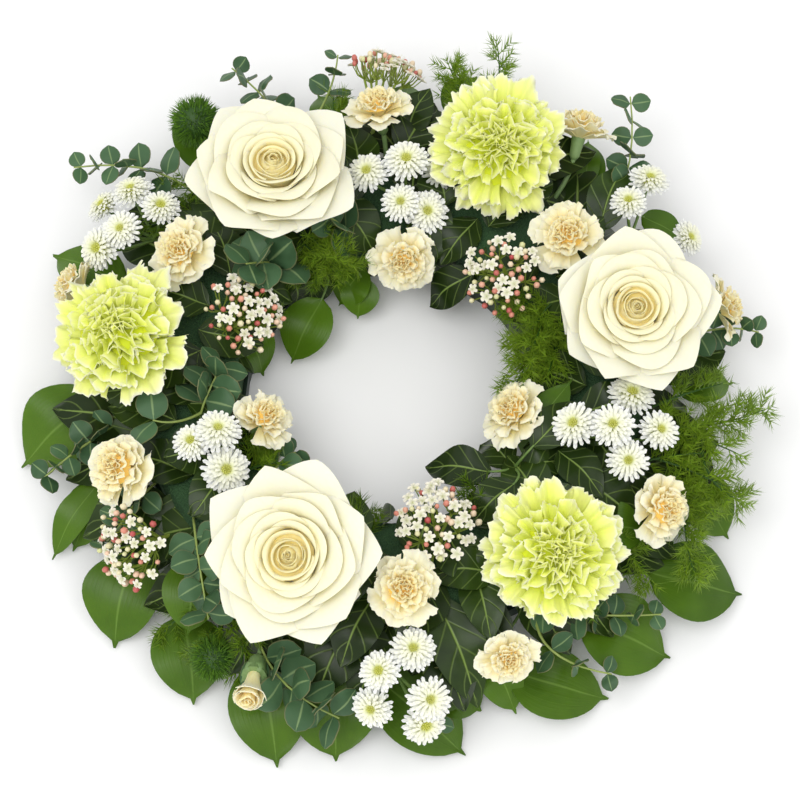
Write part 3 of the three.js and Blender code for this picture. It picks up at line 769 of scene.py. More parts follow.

# Short fern tips tucked in low between the flowers: angle, radius and height of the foot and
# of the tip, and their tone, a painted brightness for the light that reaches them.
FERN_TIPS = [
    ((25, 104, 44), (8, 84, 60), 0.6), ((16, 106, 40), (358, 92, 56), 0.55),
    ((30, 100, 44), (24, 80, 58), 0.5), ((10, 100, 30), (5, 82, 24), 0.6),
    ((118, 96, 42), (110, 72, 52), 0.5), ((128, 98, 44), (126, 76, 50), 0.4),
    ((150, 104, 46), (154, 84, 52), 0.35), ((122, 112, 50), (118, 86, 58), 0.5),
    ((338, 150, 44), (345, 192, 46), 0.65), ((344, 150, 44), (351, 196, 48), 0.65),
    ((330, 156, 40), (332, 198, 40), 0.6), ((322, 150, 40), (320, 194, 38), 0.55),
    ((352, 150, 40), (359, 196, 40), 0.55), ((314, 150, 44), (308, 182, 44), 0.4),
    ((125, 150, 42), (138, 186, 44), 0.35), ((133, 150, 40), (146, 178, 44), 0.35),
    ((205, 108, 46), (212, 90, 52), 0.5), ((216, 108, 46), (222, 88, 54), 0.5),
    ((240, 150, 40), (236, 198, 24), 0.5), ((233, 150, 38), (229, 200, 20), 0.45),
    ((104, 150, 44), (101, 192, 46), 0.5), ((76, 150, 44), (74, 190, 50), 0.5),
    ((300, 110, 46), (304, 84, 46), 0.3), ((262, 108, 46), (258, 86, 44), 0.35),
    ((20, 98, 44), (12, 76, 44), 0.7), ((12, 104, 44), (2, 80, 46), 0.75),
    ((26, 108, 46), (18, 90, 58), 0.6), ((124, 104, 48), (120, 80, 56), 0.55),
    ((341, 158, 44), (340, 204, 44), 0.7), ((348, 158, 44), (346, 206, 46), 0.7),
    ((334, 158, 42), (336, 206, 40), 0.65), ((240, 154, 40), (244, 196, 26), 0.45),
]
TIP_NEEDLE = 9
for i, (foot, tip, shade) in enumerate(FERN_TIPS, start=1):
    chance = random.Random(f"fern_tip_{i}")
    fern = new_piece()
    start = ring(*foot)
    end = ring(*tip)
    path = (start, (start + end) / 2 + UP * 8, end)
    fern_frond(fern, path, TIP_NEEDLE, chance, shade, start=0.15, branchlets=15)
    piece = new_object(f"fern_tip_{i}", fern, [fern_green])
    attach(piece, "root")

# ---------------------------------------------------------------------------------------
# Green trick: a bearded carnation with no petals, only a round head of soft green bristles.

bristle_green, tree = new_material("bristly green dianthus head")
# Matt moss green, each bristle lighter or darker than the next. The core is painted almost dark, as
# painted shade deep among the bristles.
give_shader(tree, {"Base Color": two_tone(tree, "1F4210", "6E9C2C"), "Roughness": 0.6})

BRISTLES = 1100
TUFT = 50
BRISTLE = 0.5
BRISTLE_STEM = 1.6
# Each head: foot of its stem, centre and radius.
GREEN_TRICKS = [
    ((117, 138, 20), (126, 206, 54), 17),
    ((230, 138, 20), (239, 196, 30), 14),
]
for i, (foot, at, radius) in enumerate(GREEN_TRICKS, start=1):
    chance = random.Random(f"green_trick_{i}")
    head = new_piece()
    bmesh.ops.create_uvsphere(head, u_segments=14, v_segments=9, radius=0.72 * radius)
    middle = ring(*at)
    bmesh.ops.translate(head, vec=middle, verts=head.verts)
    # The core's low tone is painted shade deep among the bristles.
    set_tone(head, head.verts, 0.1)
    for _ in range(BRISTLES // TUFT):
        tuft = new_piece()
        for _ in range(TUFT):
            out = any_direction(chance)
            lean = (out + 0.3 * any_direction(chance)).normalized()
            length = radius * chance.uniform(0.25, 0.45)
            corners = add_needle(tuft, middle + out * 0.66 * radius, lean, length, BRISTLE)
            set_tone(tuft, corners, chance.uniform(0.2, 1))
        merge(head, tuft)
    root = ring(*foot)
    add_stem(head, stem_path(root, middle, (middle - root).normalized()), BRISTLE_STEM)
    piece = new_object(f"bristle_head_{i}", head, [bristle_green])
    stand_for(piece, f"green_trick_{i}")

# ---------------------------------------------------------------------------------------
# Viburnum: flat clusters of small white flowers and pink buds on yellow-green stalks that
# branch from one crown. Two of the twigs keep a leathery leaf.

viburnum_white, tree = new_material("white viburnum floret")
# Matt white, a little greenish in the throat.
give_shader(tree, {
    "Base Color": two_tone(tree, "C9CE98", "F6F0E2"),
    "Roughness": 0.6,
    "Subsurface Weight": 0.2,
    "Subsurface Radius": (0.0008, 0.0008, 0.0006),
    "Subsurface Scale": 1.0,
})

viburnum_bud, tree = new_material("waxy viburnum bud")
# Buds go from greenish cream to salmon and rose as they swell.
tone = add_node(tree, "Attribute", out="Fac", attribute_name="tone")
shade = add_node(tree, "ValToRGB", {"Fac": tone})
ramp = shade.node.color_ramp.elements
ramp[0].position = 0
ramp[0].color = linear("D8DC9C")
ramp[1].position = 1
ramp[1].color = linear("B9484C")
ramp.new(0.35).color = linear("F3E3C4")
ramp.new(0.65).color = linear("E39A82")
give_shader(tree, {"Base Color": shade, "Roughness": 0.4})

# Satin and yellow-green, so that the stalks show light between the buds.
stalk_green = mottled("yellow-green viburnum stalk", "6F8A2E", "A3B24A", 150, 2.0, 0.5)

FLORET = 3.8
FLORET_LOBES = 5
FLORET_THICKNESS = 0.25
ANTHERS = 4
ANTHER_LENGTH = 4.5


def add_floret(bm, place, axis, chance):
    """A flower the size of a lentil: five round lobes cut from one disc, a little cupped."""
    part = new_piece()
    size = FLORET * chance.uniform(0.85, 1.1)
    bmesh.ops.create_circle(part, cap_ends=True, cap_tris=True, segments=20, radius=size)
    bmesh.ops.solidify(part, geom=part.faces[:], thickness=FLORET_THICKNESS)
    cup = chance.uniform(0.1, 0.45)
    tone = part.verts.layers.float["tone"]
    for corner in part.verts:
        reach = corner.co.xy.length / size
        turn = math.atan2(corner.co.y, corner.co.x)
        lobe = 0.55 + 0.45 * abs(math.sin(FLORET_LOBES * turn / 2)) ** 0.6
        rise = size * reach * (cup + 0.1 * math.cos(FLORET_LOBES * turn))
        corner.co = Vector((corner.co.x * lobe, corner.co.y * lobe, corner.co.z + rise))
        corner[tone] = 0.2 + 0.8 * reach
    for _ in range(ANTHERS):
        anther = (UP + 0.5 * any_direction(chance)).normalized()
        set_tone(part, add_needle(part, Vector(), anther, ANTHER_LENGTH, 0.16), 0.3)
    place_part(part, place, axis, chance.uniform(0, 6.28))
    merge(bm, part)


BUD = 1.75


def add_bud(bm, place, axis, tone, chance):
    """A closed flower, a little longer than it is wide."""
    part = new_piece()
    size = BUD * chance.uniform(0.8, 1.2)
    bmesh.ops.create_uvsphere(part, u_segments=6, v_segments=5, radius=size)
    bmesh.ops.scale(part, vec=(1, 1, 1.2), verts=part.verts)
    set_tone(part, part.verts, tone)
    place_part(part, place, axis)
    merge(bm, part)


GOLDEN_ANGLE = math.radians(137.5)
CLUSTER_RADIUS = 24
CLUSTER_FLOWERS = 62
OPEN_FLOWERS = 0.42  # share of the flowers that are open, the others are buds


def cluster_spots(hub, centre, axis, chance):
    """Where the flowers stand: spread evenly over a low dome, each with its direction."""
    side = axis.cross(Vector((0.3, 1, 0.1))).normalized()
    level = axis.cross(side)
    spots = []
    for i in range(CLUSTER_FLOWERS):
        reach = math.sqrt((i + 0.5) / CLUSTER_FLOWERS)
        turn = i * GOLDEN_ANGLE + chance.uniform(-0.2, 0.2)
        flat = (side * math.cos(turn) + level * math.sin(turn)) * reach * CLUSTER_RADIUS
        rise = axis * (7 - 9 * reach**2 + chance.uniform(-2.5, 2.5))
        place = centre + flat + rise
        spots.append((place, ((place - hub).normalized() + 0.6 * axis).normalized()))
    return spots


# Each twig: angle and radius of its foot, crown, middle of the cluster, and its own leaves.
VIBURNUM_TWIGS = [
    ((102, 134), (93, 176, 40), (91, 205, 54), []),
    ((161, 106), (163, 98, 50), (162, 90, 71), []),
    ((41, 106), (40, 92, 50), (39, 84, 70), [((54, 84, 44), (68, 62, 18), 26)]),
    ((284, 112), (284, 108, 52), (284, 105, 76), [((280, 140, 50), (284, 202, 26), 32)]),
    ((217, 136), (217, 168, 40), (217, 186, 58), []),
]
for i, (foot, crown, at, leaves) in enumerate(VIBURNUM_TWIGS, start=1):
    chance = random.Random(f"viburnum_{i}")
    root = ring(*foot, SOCKET_FOOT)
    end = ring(*crown)
    centre = ring(*at)
    trunk = stem_path(root, end, (end - root).normalized())
    hub = on_curve(trunk, BRANCHING)[0]
    axis = (centre - hub).normalized()
    spots = cluster_spots(hub, centre, axis, chance)
    kinds = [chance.random() < OPEN_FLOWERS for _ in spots]

    twig = new_piece()
    for (place, out), open_flower in zip(spots, kinds):
        if open_flower:
            add_floret(twig, place, out, chance)
    white = len(twig.faces)
    add_leaves(twig, leaves, long_point, chance)
    leathery = len(twig.faces)
    for (place, out), open_flower in zip(spots, kinds):
        if not open_flower:
            add_bud(twig, place, out, chance.random(), chance)
    buds = len(twig.faces)
    add_stem(twig, trunk, TWIG)
    forks = [centre - axis * 9]  # the middle one, and six round it
    for k in range(6):
        side = axis.orthogonal().normalized()
        side.rotate(Matrix.Rotation(k * math.pi / 3, 3, axis))
        forks.append(centre - axis * 10 + side * 12)
    for fork in forks:
        arm = (hub, (hub + fork) / 2 + axis * 2, fork)
        add_stem(twig, arm, PETIOLE, taper=0.8, steps=3, sides=5)
    for place, out in spots:
        fork = min(forks, key=lambda spot: (spot - place).length)
        add_stem(twig, stem_path(fork, place, out), STALK, taper=0.8, steps=2, sides=3)
    add_petioles(twig, leaves, hub, 1.0)
    for first, index in [(white, 3), (leathery, 1), (buds, 2)]:
        paint_from(twig, first, index)
    surfaces = [viburnum_white, viburnum_bud, stalk_green, salal]
    piece = new_object(f"viburnum_cluster_{i}", twig, surfaces)
    stand_for(piece, f"viburnum_twig_{i}")

# ---------------------------------------------------------------------------------------
# Santini: small white spray chrysanthemums. Rounded spoon-shaped rays lie in five tiers
# round a tight greenish-yellow disc, and each head ends a side branch of the same stem.


def graded(tree, base, tip, start, end):
    """A petal's colour, which goes from base to tip between two shares of its length.

    base and tip are each the two colours that the tone goes between.
    """
    along = add_node(tree, "SeparateXYZ", {"Vector": add_node(tree, "UVMap")}, out="Y")
    limits = {"Value": along, "From Min": start, "From Max": end}
    rise = add_node(tree, "MapRange", limits, interpolation_type="SMOOTHSTEP")
    ends = {"Factor": rise, A: two_tone(tree, *base), B: two_tone(tree, *tip)}
    return add_node(tree, "Mix", ends, **COLOURS)


santini_petal, tree = new_material("smooth white santini ray")
# White and slightly translucent, greenish cream in the heart and at the base of each ray.
give_shader(tree, {
    "Base Color": graded(tree, ("E6EACB", "DCE48E"), ("FAFBF8", "F8F8DC"), 0.1, 0.75),
    "Roughness": 0.5,
    "Subsurface Weight": 0.25,
    "Subsurface Radius": (0.0008, 0.0008, 0.0006),
    "Subsurface Scale": 1.0,
})

disc_green, tree = new_material("tight greenish-yellow disc floret")
# Matt, and paler towards the rim of the disc.
give_shader(tree, {"Base Color": two_tone(tree, "D0D456", "F2F0A8"), "Roughness": 0.6})


def facing(lean, heading):
    """The direction that leans from upright towards a compass heading."""
    tilt = math.radians(lean)
    turn = math.radians(heading)
    out = math.sin(tilt)
    return Vector((out * math.cos(turn), out * math.sin(turn), math.cos(tilt)))


def petal_line(claw, belly, crest, lip, turn, steps=16):
    """(radius, height) and the direction of the back, from a petal's claw to its lip.

    The wall curves from the claw past the belly to the crest, and the lip, of the length
    given, goes on from there as an arc that turns outwards.
    """
    lip_steps = steps // 3
    wall_steps = steps - lip_steps
    claw, belly, crest = Vector(claw), Vector(belly), Vector(crest)
    line = []
    for i in range(wall_steps + 1):
        share = i / wall_steps
        spot = claw * (1 - share) ** 2 + belly * 2 * share * (1 - share) + crest * share**2
        run = ((belly - claw) * (1 - share) + (crest - belly) * share).normalized()
        line.append((spot.x, spot.y, run.y, -run.x))
    tilt = math.atan2(run.x, run.y)
    for i in range(1, lip_steps + 1):
        bent = tilt + math.radians(turn) * (i - 0.5) / lip_steps
        spot = spot + Vector((math.sin(bent), math.cos(bent))) * lip / lip_steps
        line.append((spot.x, spot.y, math.cos(bent), -math.sin(bent)))
    return line


def along_line(line, share):
    """The entry of a petal's line at a share of its length."""
    place = min(max(share, 0), 1) * (len(line) - 1)
    i = min(int(place), len(line) - 2)
    return [a + (b - a) * (place - i) for a, b in zip(line[i], line[i + 1])]


def petal(line, turn, hug, outline, ruffle):
    """Lays an outline along a line and wraps it round the bloom's axis.

    outline(across, along) gives the share of the line and the distance to the side, and
    ruffle(across, along) how far the surface is pushed towards the petal's back.
    """
    turned = Matrix.Rotation(-turn, 3, "Z")

    def shape(across, along, lift):
        share, side = outline(across, along)
        radius, height, back_out, back_up = along_line(line, share)
        wrap = max(radius * hug, 1.2)
        angle = max(min(side / wrap, 2.5), -2.5)
        push = ruffle(across, along) + lift
        out = radius - wrap * (1 - math.cos(angle)) + push * back_out
        return Vector((out, wrap * math.sin(angle), height + push * back_up)) @ turned

    return shape


# Tiers from the outside in: rays, radius and height of their tips, half width.
SANTINI_TIERS = [
    (21, 14.4, 5.0, 1.25),
    (21, 13.2, 7.4, 1.2),
    (19, 11.2, 9.4, 1.15),
    (17, 9.0, 10.9, 1.05),
    (14, 6.8, 11.8, 0.95),
]
RAY_THICKNESS = 0.3
DISC_FLORETS = 36


def lathe(bm, profile, sides):
    """A solid turned round the upright axis from (height, radius) pairs."""
    sweep(bm, [(UP * height, UP, radius) for height, radius in profile], sides)


def santini_rays(bm, openness, chance):
    """The tiers of rays, whose walls stand up more the less open the head is."""
    for i, (count, radius, height, half_width) in enumerate(SANTINI_TIERS):
        start = chance.uniform(0, 6.28)
        for k in range(count):
            reach = radius * chance.uniform(0.93, 1.05)
            tip = height + chance.uniform(-0.7, 0.7)
            belly = (0.5 * reach * openness, tip + 0.4 * i)
            line = petal_line((1.4, 3.5), belly, (0.88 * reach, tip), 0.14 * reach, -25, 8)

            def outline(across, along, half_width=half_width):
                spoon = 0.55 + 0.45 * math.sin(math.pi * min(along, 0.8) ** 1.5)
                return along * (1 - 0.13 * abs(across) ** 2), across * half_width * spoon

            def ruffle(across, along, half_width=half_width):
                return -0.45 * half_width * across**2 * along

            turn = start + (k + chance.uniform(-0.22, 0.22)) * 2 * math.pi / count
            shape = petal(line, turn, 3, outline, ruffle)
            corners = add_sheet(bm, 2, 5, RAY_THICKNESS, shape)
            set_tone(bm, corners, i / (len(SANTINI_TIERS) - 1))


def santini_disc(bm, radius, chance):
    """A low dome of tight florets in a green cup."""
    for k in range(DISC_FLORETS):
        reach = math.sqrt((k + 0.5) / DISC_FLORETS)
        turn = k * GOLDEN_ANGLE
        flat = Vector((math.cos(turn), math.sin(turn), 0)) * reach * radius
        place = flat + UP * (10.6 - 1.8 * reach**2)
        spot = stand(place, (UP + flat * 0.16).normalized())
        floret = bmesh.ops.create_cone(
            bm, cap_ends=True, segments=4, radius1=0.5, radius2=0.35, depth=2.6, matrix=spot
        )
        set_tone(bm, floret["verts"], reach * chance.uniform(0.7, 1))
    lathe(bm, [(0.6, 0.9), (2.2, 3.2), (4.2, 4.8), (7.5, 4.6), (9.4, 0.8 * radius)], 8)


def santini_head(chance, base, axis):
    """A head whose inner rays stand more or less closed over its disc."""
    head = new_piece()
    openness = chance.uniform(0.7, 1.15)
    santini_rays(head, openness, chance)
    rays = len(head.faces)
    santini_disc(head, 3.6 * openness, chance)
    size = chance.uniform(0.8, 1)
    bmesh.ops.scale(head, vec=(size, size, size), verts=head.verts)
    paint_from(head, rays, 1)
    place_part(head, base, axis, chance.uniform(0, 6.28))
    return head


SANTINI_FACE = 7
# Each spray: angle and radius of its foot, fork, and for each head its place and its lean.
SANTINI_SPRAYS = [
    ((145, 134), (147, 172, 42), [
        (144, 194, 62, 25), (144, 171, 68, 10), (152, 183, 66, 15), (156, 192, 56, 35),
        (148, 207, 52, 40)]),
    ((86, 118), (86, 116, 52), [
        (97, 121, 74, 12), (86, 125, 80, 5), (87, 101, 72, 12), (78, 101, 64, 20),
        (77, 130, 64, 25)]),
    ((31, 136), (33, 174, 42), [(38, 198, 62, 20), (36, 175, 70, 8), (26, 200, 52, 35)]),
    ((343, 124), (341, 138, 54), [
        (337, 113, 76, 20), (339, 134, 84, 5), (350, 140, 72, 20), (343, 160, 74, 15),
        (334, 149, 74, 20)]),
    ((211, 122), (210, 118, 54), [(206, 126, 78, 10), (207, 110, 81, 15), (217, 117, 72, 20)]),
    ((267, 134), (271, 180, 44), [
        (274, 174, 66, 5), (268, 186, 66, 15), (276, 202, 62, 20), (275, 213, 52, 45),
        (267, 203, 50, 40)]),
]
for i, (foot, fork, heads) in enumerate(SANTINI_SPRAYS, start=1):
    chance = random.Random(f"santini_{i}")
    spray = new_piece()
    crotch = ring(*fork)
    stands = []
    trunk = stem_path(ring(*foot, SOCKET_FOOT), crotch, UP)
    add_stem(spray, trunk, TWIG)
    branching = on_curve(trunk, BRANCHING)[0]
    for angle, radius, height, lean in heads:
        face = ring(angle, radius, height)
        away = face - crotch
        axis = facing(lean, math.degrees(math.atan2(away.y, away.x)))
        base = face - axis * SANTINI_FACE
        add_stem(spray, stem_path(branching, base + axis, axis), PETIOLE, steps=4)
        stands.append((base, axis))
    paint_from(spray, 0, 2)
    for base, axis in stands:
        merge(spray, santini_head(chance, base, axis))
    piece = new_object(f"santini_heads_{i}", spray, [santini_petal, disc_green, twig_skin])
    stand_for(piece, f"santini_spray_{i}")

# ---------------------------------------------------------------------------------------
# Spray carnations: small cream carnations. A few broad outer petals lie open round a tight
# ruffled heart flushed with peach, and all grow out of a long tubular calyx.

# What the petals of carnations and roses share: thin, soft and a little silky.
PETAL_FINISH = {
    "Roughness": 0.6,
    "Specular IOR Level": 0.25,
    "Subsurface Weight": 0.3,
    "Subsurface Scale": 1.0,
    "Sheen Weight": 0.1,
}
spray_silk, tree = new_material("silky cream carnation petal")
# Cream, peach in the heart, with faint lengthwise ribs that break up the highlights.
give_shader(tree, {
    "Base Color": graded(tree, ("FDF0B4", "FFD472"), ("FBF6DA", "FFF0B2"), 0.35, 0.95),
    "Normal": ribbed(tree, 24, 1.5, 0.3, 0.0006),
    "Subsurface Radius": (0.001, 0.0008, 0.0004),
    **PETAL_FINISH,
})

# Satin and greyish green, from its thin wax bloom.
calyx_green = mottled("glaucous carnation calyx", "5F8246", "93AE74", 120, 3.0, 0.55)

PETAL_THICKNESS = 0.3


def pack_heart(bm, outline, drop):
    """The cushion of crowded petals that closes the gaps a little below the visible lips."""
    known = set(bm.verts)
    lathe(bm, [(height - drop, radius) for radius, height in outline], 16)
    set_tone(bm, [corner for corner in bm.verts if corner not in known], 1)


def carnation_head(bm, whorls, claw, columns, rows, teeth, chance):
    """Whorls of fans from the outside in.

    Each is (petals, radius, height, half width, depth and number of folds, turn of the lip).
    """
    turn = chance.uniform(0, 6.28)
    for i, (count, radius, height, half_width, depth, folds, lip_turn) in enumerate(whorls):
        turn += GOLDEN_ANGLE
        for k in range(count):
            reach = radius * chance.uniform(0.82, 1.08)
            lip = (0.92 * reach, height + chance.uniform(-1, 1) * 0.07 * radius)
            belly = (0.42 * reach, claw[1] + 0.66 * (height - claw[1]))
            curl = chance.uniform(0.14, 0.32) * reach
            line = petal_line(claw, belly, lip, curl, lip_turn * chance.uniform(0.4, 1.3))
            waves = folds * chance.uniform(0.8, 1.25)
            phase = chance.uniform(0, 6.28)
            swing = chance.uniform(-0.3, 0.3)
            wide = half_width * chance.uniform(0.85, 1.12)
            jags = [teeth * chance.uniform(0.1, 1) * (k % 2 + 0.2) for k in range(columns + 1)]

            def outline(across, along):
                side = across * wide * (0.16 + 0.84 * along**1.2)
                jag = jags[round((across + 1) / 2 * columns)] * along**8
                notch = 1.3 * teeth * math.sin(5 * across + phase) * along**3
                return along * (1 - 0.16 * across**2 - jag + notch), side

            def ruffle(across, along):
                wave = math.sin(waves * math.pi * (across + swing * along) + phase)
                fine = 0.35 * math.sin(2.3 * waves * math.pi * across + 2 * phase)
                return depth * (wave + fine) * along**1.5

            petal_turn = turn + (k + chance.uniform(-0.25, 0.25)) * 2 * math.pi / count
            shape = petal(line, petal_turn, 1.15, outline, ruffle)
            corners = add_sheet(bm, columns, rows, PETAL_THICKNESS, shape)
            share = i / (len(whorls) - 1)
            set_tone(bm, corners, min(max(share + chance.uniform(-0.12, 0.12), 0), 1))
    lips = [(0.75 * radius, height) for _, radius, height, *_ in whorls[2:]]
    pack_heart(bm, lips, 0.1 * whorls[-1][2])


def add_calyx(bm, profile, teeth, sides=10):
    """A tubular cup turned from (height, radius) pairs, with pointed teeth round its mouth."""
    lathe(bm, profile, sides)
    height, radius = profile[-1]
    for k in range(teeth):
        turn = k * 2 * math.pi / teeth
        out = Vector((math.cos(turn), math.sin(turn), 0))
        spot = stand(out * 0.8 * radius + UP * height, (UP + out * 0.5).normalized())
        bmesh.ops.create_cone(
            bm, cap_ends=True, segments=6, radius1=0.45 * radius, radius2=0, depth=radius, matrix=spot
        )


# Each whorl, as in carnation_head.
SPRAY_WHORLS = [
    (6, 20.5, 19, 11.5, 1.4, 1.5, 60),
    (4, 17.5, 22.5, 10.5, 1.8, 1.7, 60),
    (6, 13, 26.5, 8.5, 1.8, 2.0, 75),
    (6, 10, 28.5, 7.5, 1.9, 2.2, 70),
    (5, 7, 30, 6.5, 1.9, 2.2, 60),
    (4, 4.2, 31, 5.5, 1.6, 2.2, 45),
    (3, 1.8, 31.5, 4, 1.2, 2.0, 25),
]
BUD_WHORLS = [
    (4, 7, 24, 9, 0.4, 1.2, -40),
    (4, 5.5, 26, 7, 0.5, 1.2, -30),
    (3, 3.5, 27, 5, 0.5, 1.5, -20),
    (3, 1.5, 27.5, 4, 0.5, 1.5, -10),
]
SPRAY_CALYX = [(0.5, 1.8), (3, 3.4), (9, 3.9), (15, 4.6)]
SPRAY_FACE = 24
BUD_FACE = 20
SPRAY_STEM = 1.6
# Each carnation: middle of its face, lean and heading, angle and radius of its foot, size.
SPRAY_CARNATIONS = [
    ((93, 169, 72), 30, 110, (93, 132), 0.94),
    ((152, 142, 76), 25, 200, (154, 128), 1.0),
    ((84, 70, 56), 38, 262, (84, 106), 0.9),
    ((36, 128, 80), 12, 200, (34, 122), 1.04),
    ((54, 198, 62), 62, 75, (54, 136), 0.95),
    ((12, 206, 48), 78, 10, (20, 136), 0.85),
    ((338, 75, 60), 35, 160, (336, 106), 0.95),
    ((206, 80, 67), 28, 30, (202, 104), 0.84),
    ((203, 170, 66), 35, 200, (203, 134), 1.08),
    ((163, 202, 45), 80, 160, (164, 138), 0.9),
    ((330, 180, 62), 40, 330, (328, 134), 0.95),
    ((273, 143, 80), 15, 290, (274, 128), 0.98),
    ((290, 190, 62), 35, 285, (289, 134), 0.76),
]


def carnation_piece(name, place, face, whorls, grid, teeth, calyx, stem, materials):
    """A carnation on its stem; its face is so far above the foot of the calyx."""
    at, lean, heading, foot, size = place
    chance = random.Random(name)
    axis = facing(lean, heading)
    base = ring(*at) - axis * face * size
    roll = chance.uniform(0, 6.28)
    claw = (0.5 * calyx[-1][1], calyx[-1][0] - 1)
    bloom = new_piece()
    carnation_head(bloom, whorls, claw, *grid, teeth, chance)
    petals = len(bloom.faces)
    add_calyx(bloom, calyx, 5)
    bmesh.ops.scale(bloom, vec=(size, size, size), verts=bloom.verts)
    place_part(bloom, base, axis, roll)
    add_stem(bloom, stem_path(ring(*foot, SOCKET_FOOT), base + axis, axis), stem)
    paint_from(bloom, petals, 1)
    return new_object(name, bloom, materials)


for i, place in enumerate(SPRAY_CARNATIONS, start=1):
    piece = carnation_piece(
        f"cream_carnation_{i}", place, SPRAY_FACE, SPRAY_WHORLS, (16, 6), 0.06,
        SPRAY_CALYX, SPRAY_STEM, [spray_silk, calyx_green],
    )
    stand_for(piece, f"spray_carnation_{i}")

BUD_PLACE = ((248, 207, 50), 60, 262, (241, 138), 1.35)
BUD_CALYX = [(0.5, 1.8), (3, 3.6), (8, 4.4), (12, 5.4)]
piece = carnation_piece(
    "cream_carnation_bud", BUD_PLACE, BUD_FACE, BUD_WHORLS, (8, 6), 0.03,
    BUD_CALYX, SPRAY_STEM, [spray_silk, calyx_green],
)
stand_for(piece, "spray_carnation_bud")

# ---------------------------------------------------------------------------------------
# Green carnations: full standard carnations, lime green. Their forty-six fan-shaped petals
# have toothed lips and are crowded and folded towards the middle.

lime_silk, tree = new_material("silky lime carnation petal")
# Lime that pales to almost white at the toothed lip and deepens towards the base of each petal, deep
# in the folds: partly its own colour and partly painted shade.
along = add_node(tree, "SeparateXYZ", {"Vector": add_node(tree, "UVMap")}, out="Y")
shade = add_node(tree, "ValToRGB", {"Fac": along})
ramp = shade.node.color_ramp.elements
ramp[0].position = 0.2
ramp[0].color = linear("E2EA4C")
ramp[1].position = 1
ramp[1].color = linear("F8FAE0")
ramp.new(0.6).color = linear("F0F882")
ramp.new(0.88).color = linear("F4FAA4")
tint = {"Factor": 1.0, A: shade, B: two_tone(tree, "FFFFFF", "FCFCC0")}
give_shader(tree, {
    "Base Color": add_node(tree, "Mix", tint, **COLOURS, blend_type="MULTIPLY"),
    "Normal": ribbed(tree, 30, 1.5, 0.35, 0.0008),
    "Subsurface Radius": (0.0008, 0.001, 0.0004),
    **PETAL_FINISH,
})

CARNATION_WHORLS = [
    (7, 39, 31, 16, 2.6, 2.4, 60),
    (7, 37, 35.5, 16, 3.0, 2.4, 60),
    (7, 33, 40, 15, 3.6, 2.4, 50),
    (6, 27, 44, 14, 4.4, 2.4, 35),
    (6, 21, 47, 13, 5.0, 2.6, 20),
    (6, 14.5, 49, 11, 4.8, 2.8, 10),
    (4, 8.5, 50, 9, 4.2, 3.0, 0),
    (3, 3.5, 50, 7, 3.2, 3.0, 0),
]
CARNATION_CALYX = [(0.5, 2.4), (3, 4.8), (11, 5.6), (18, 7)]
CARNATION_FACE = 34
CARNATION_STEM = 2.2
GREEN_CARNATIONS = [
    ((64, 147, 84), 18, 275, (64, 130), 1),
    ((176, 157, 80), 16, 190, (176, 132), 1),
    ((306, 154, 84), 18, 300, (306, 130), 0.97),
]
for i, place in enumerate(GREEN_CARNATIONS, start=1):
    piece = carnation_piece(
        f"lime_carnation_{i}", place, CARNATION_FACE, CARNATION_WHORLS, (24, 8), 0.09,
        CARNATION_CALYX, CARNATION_STEM, [lime_silk, calyx_green],
    )
    stand_for(piece, f"green_carnation_{i}")

# ---------------------------------------------------------------------------------------
# Roses: large cream garden roses, fully open, each a spiral of forty velvety petals with
# rolled lips on a green calyx, and a thick stem pushed deep into the foam.

rose_velvet, tree = new_material("velvety cream rose petal")
# Ivory outside and warmer towards the heart. The apricot deep between the petals, at the base of each
# one, is a painted glow of the light that shines through them.
give_shader(tree, {
    "Base Color": graded(tree, ("F8F3C8", "FFEA9E"), ("F6F3DC", "FFF3B8"), 0.3, 0.9),
    "Normal": ribbed(tree, 50, 3, 0.2, 0.0005),
    "Subsurface Radius": (0.001, 0.0008, 0.0004),
    **PETAL_FINISH,
})

# Tiers from the heart outwards: petals, radius and height where the wall turns into the lip,
# how far the wall leans out there, length and turn of the lip, and how pointed the petal is.
# The first four lean inwards and close over the rolled-up heart, and each later lip rests
# on the next tier.
ROSE_TIERS = [
    (3, 3.2, 46.8, -40, 2.4, 60, 0.0),
    (3, 5.8, 46.2, -36, 2.8, 65, 0.0),
    (3, 8.8, 45.4, -26, 3.2, 75, 0.0),
    (4, 12.0, 45.0, -8, 4.0, 80, 0.1),
    (4, 15.2, 45.2, 8, 5.4, 80, 0.2),
    (4, 18.6, 45.2, 20, 7.5, 80, 0.3),
    (4, 22.5, 44.6, 30, 10.5, 75, 0.5),
    (5, 27.5, 42.6, 40, 14.0, 65, 0.8),
    (5, 33.0, 39.0, 48, 16.5, 55, 1.0),
    (5, 35.5, 34.0, 52, 18.0, 50, 1.0),
]
CLOSED_TIERS = 4
CALYX_TOP = 9
SEPALS = 5
ROSE_CALYX = [(0.5, 3), (3, 7), (6, 8), (9, 6.5)]
ROSE_FACE = 34
ROSE_STEM = 3
HEART_TOP = 47.5
HEART_TURNS = 1.6


def heart_coil(bm, chance):
    """The petal still rolled up in the middle: one strip wound into a cone."""
    start = chance.uniform(0, 6.28)

    def shape(across, along, lift):
        wind = (across + 1) / 2
        turn = start + wind * HEART_TURNS * 2 * math.pi
        radius = (0.4 + 1.8 * wind) * (1 + 2.2 * (1 - along) ** 0.8) - lift
        height = CALYX_TOP + (HEART_TOP - 0.8 * wind - CALYX_TOP) * along
        return Vector((radius * math.cos(turn), radius * math.sin(turn), height))

    set_tone(bm, add_sheet(bm, 32, 8, PETAL_THICKNESS, shape), 1)


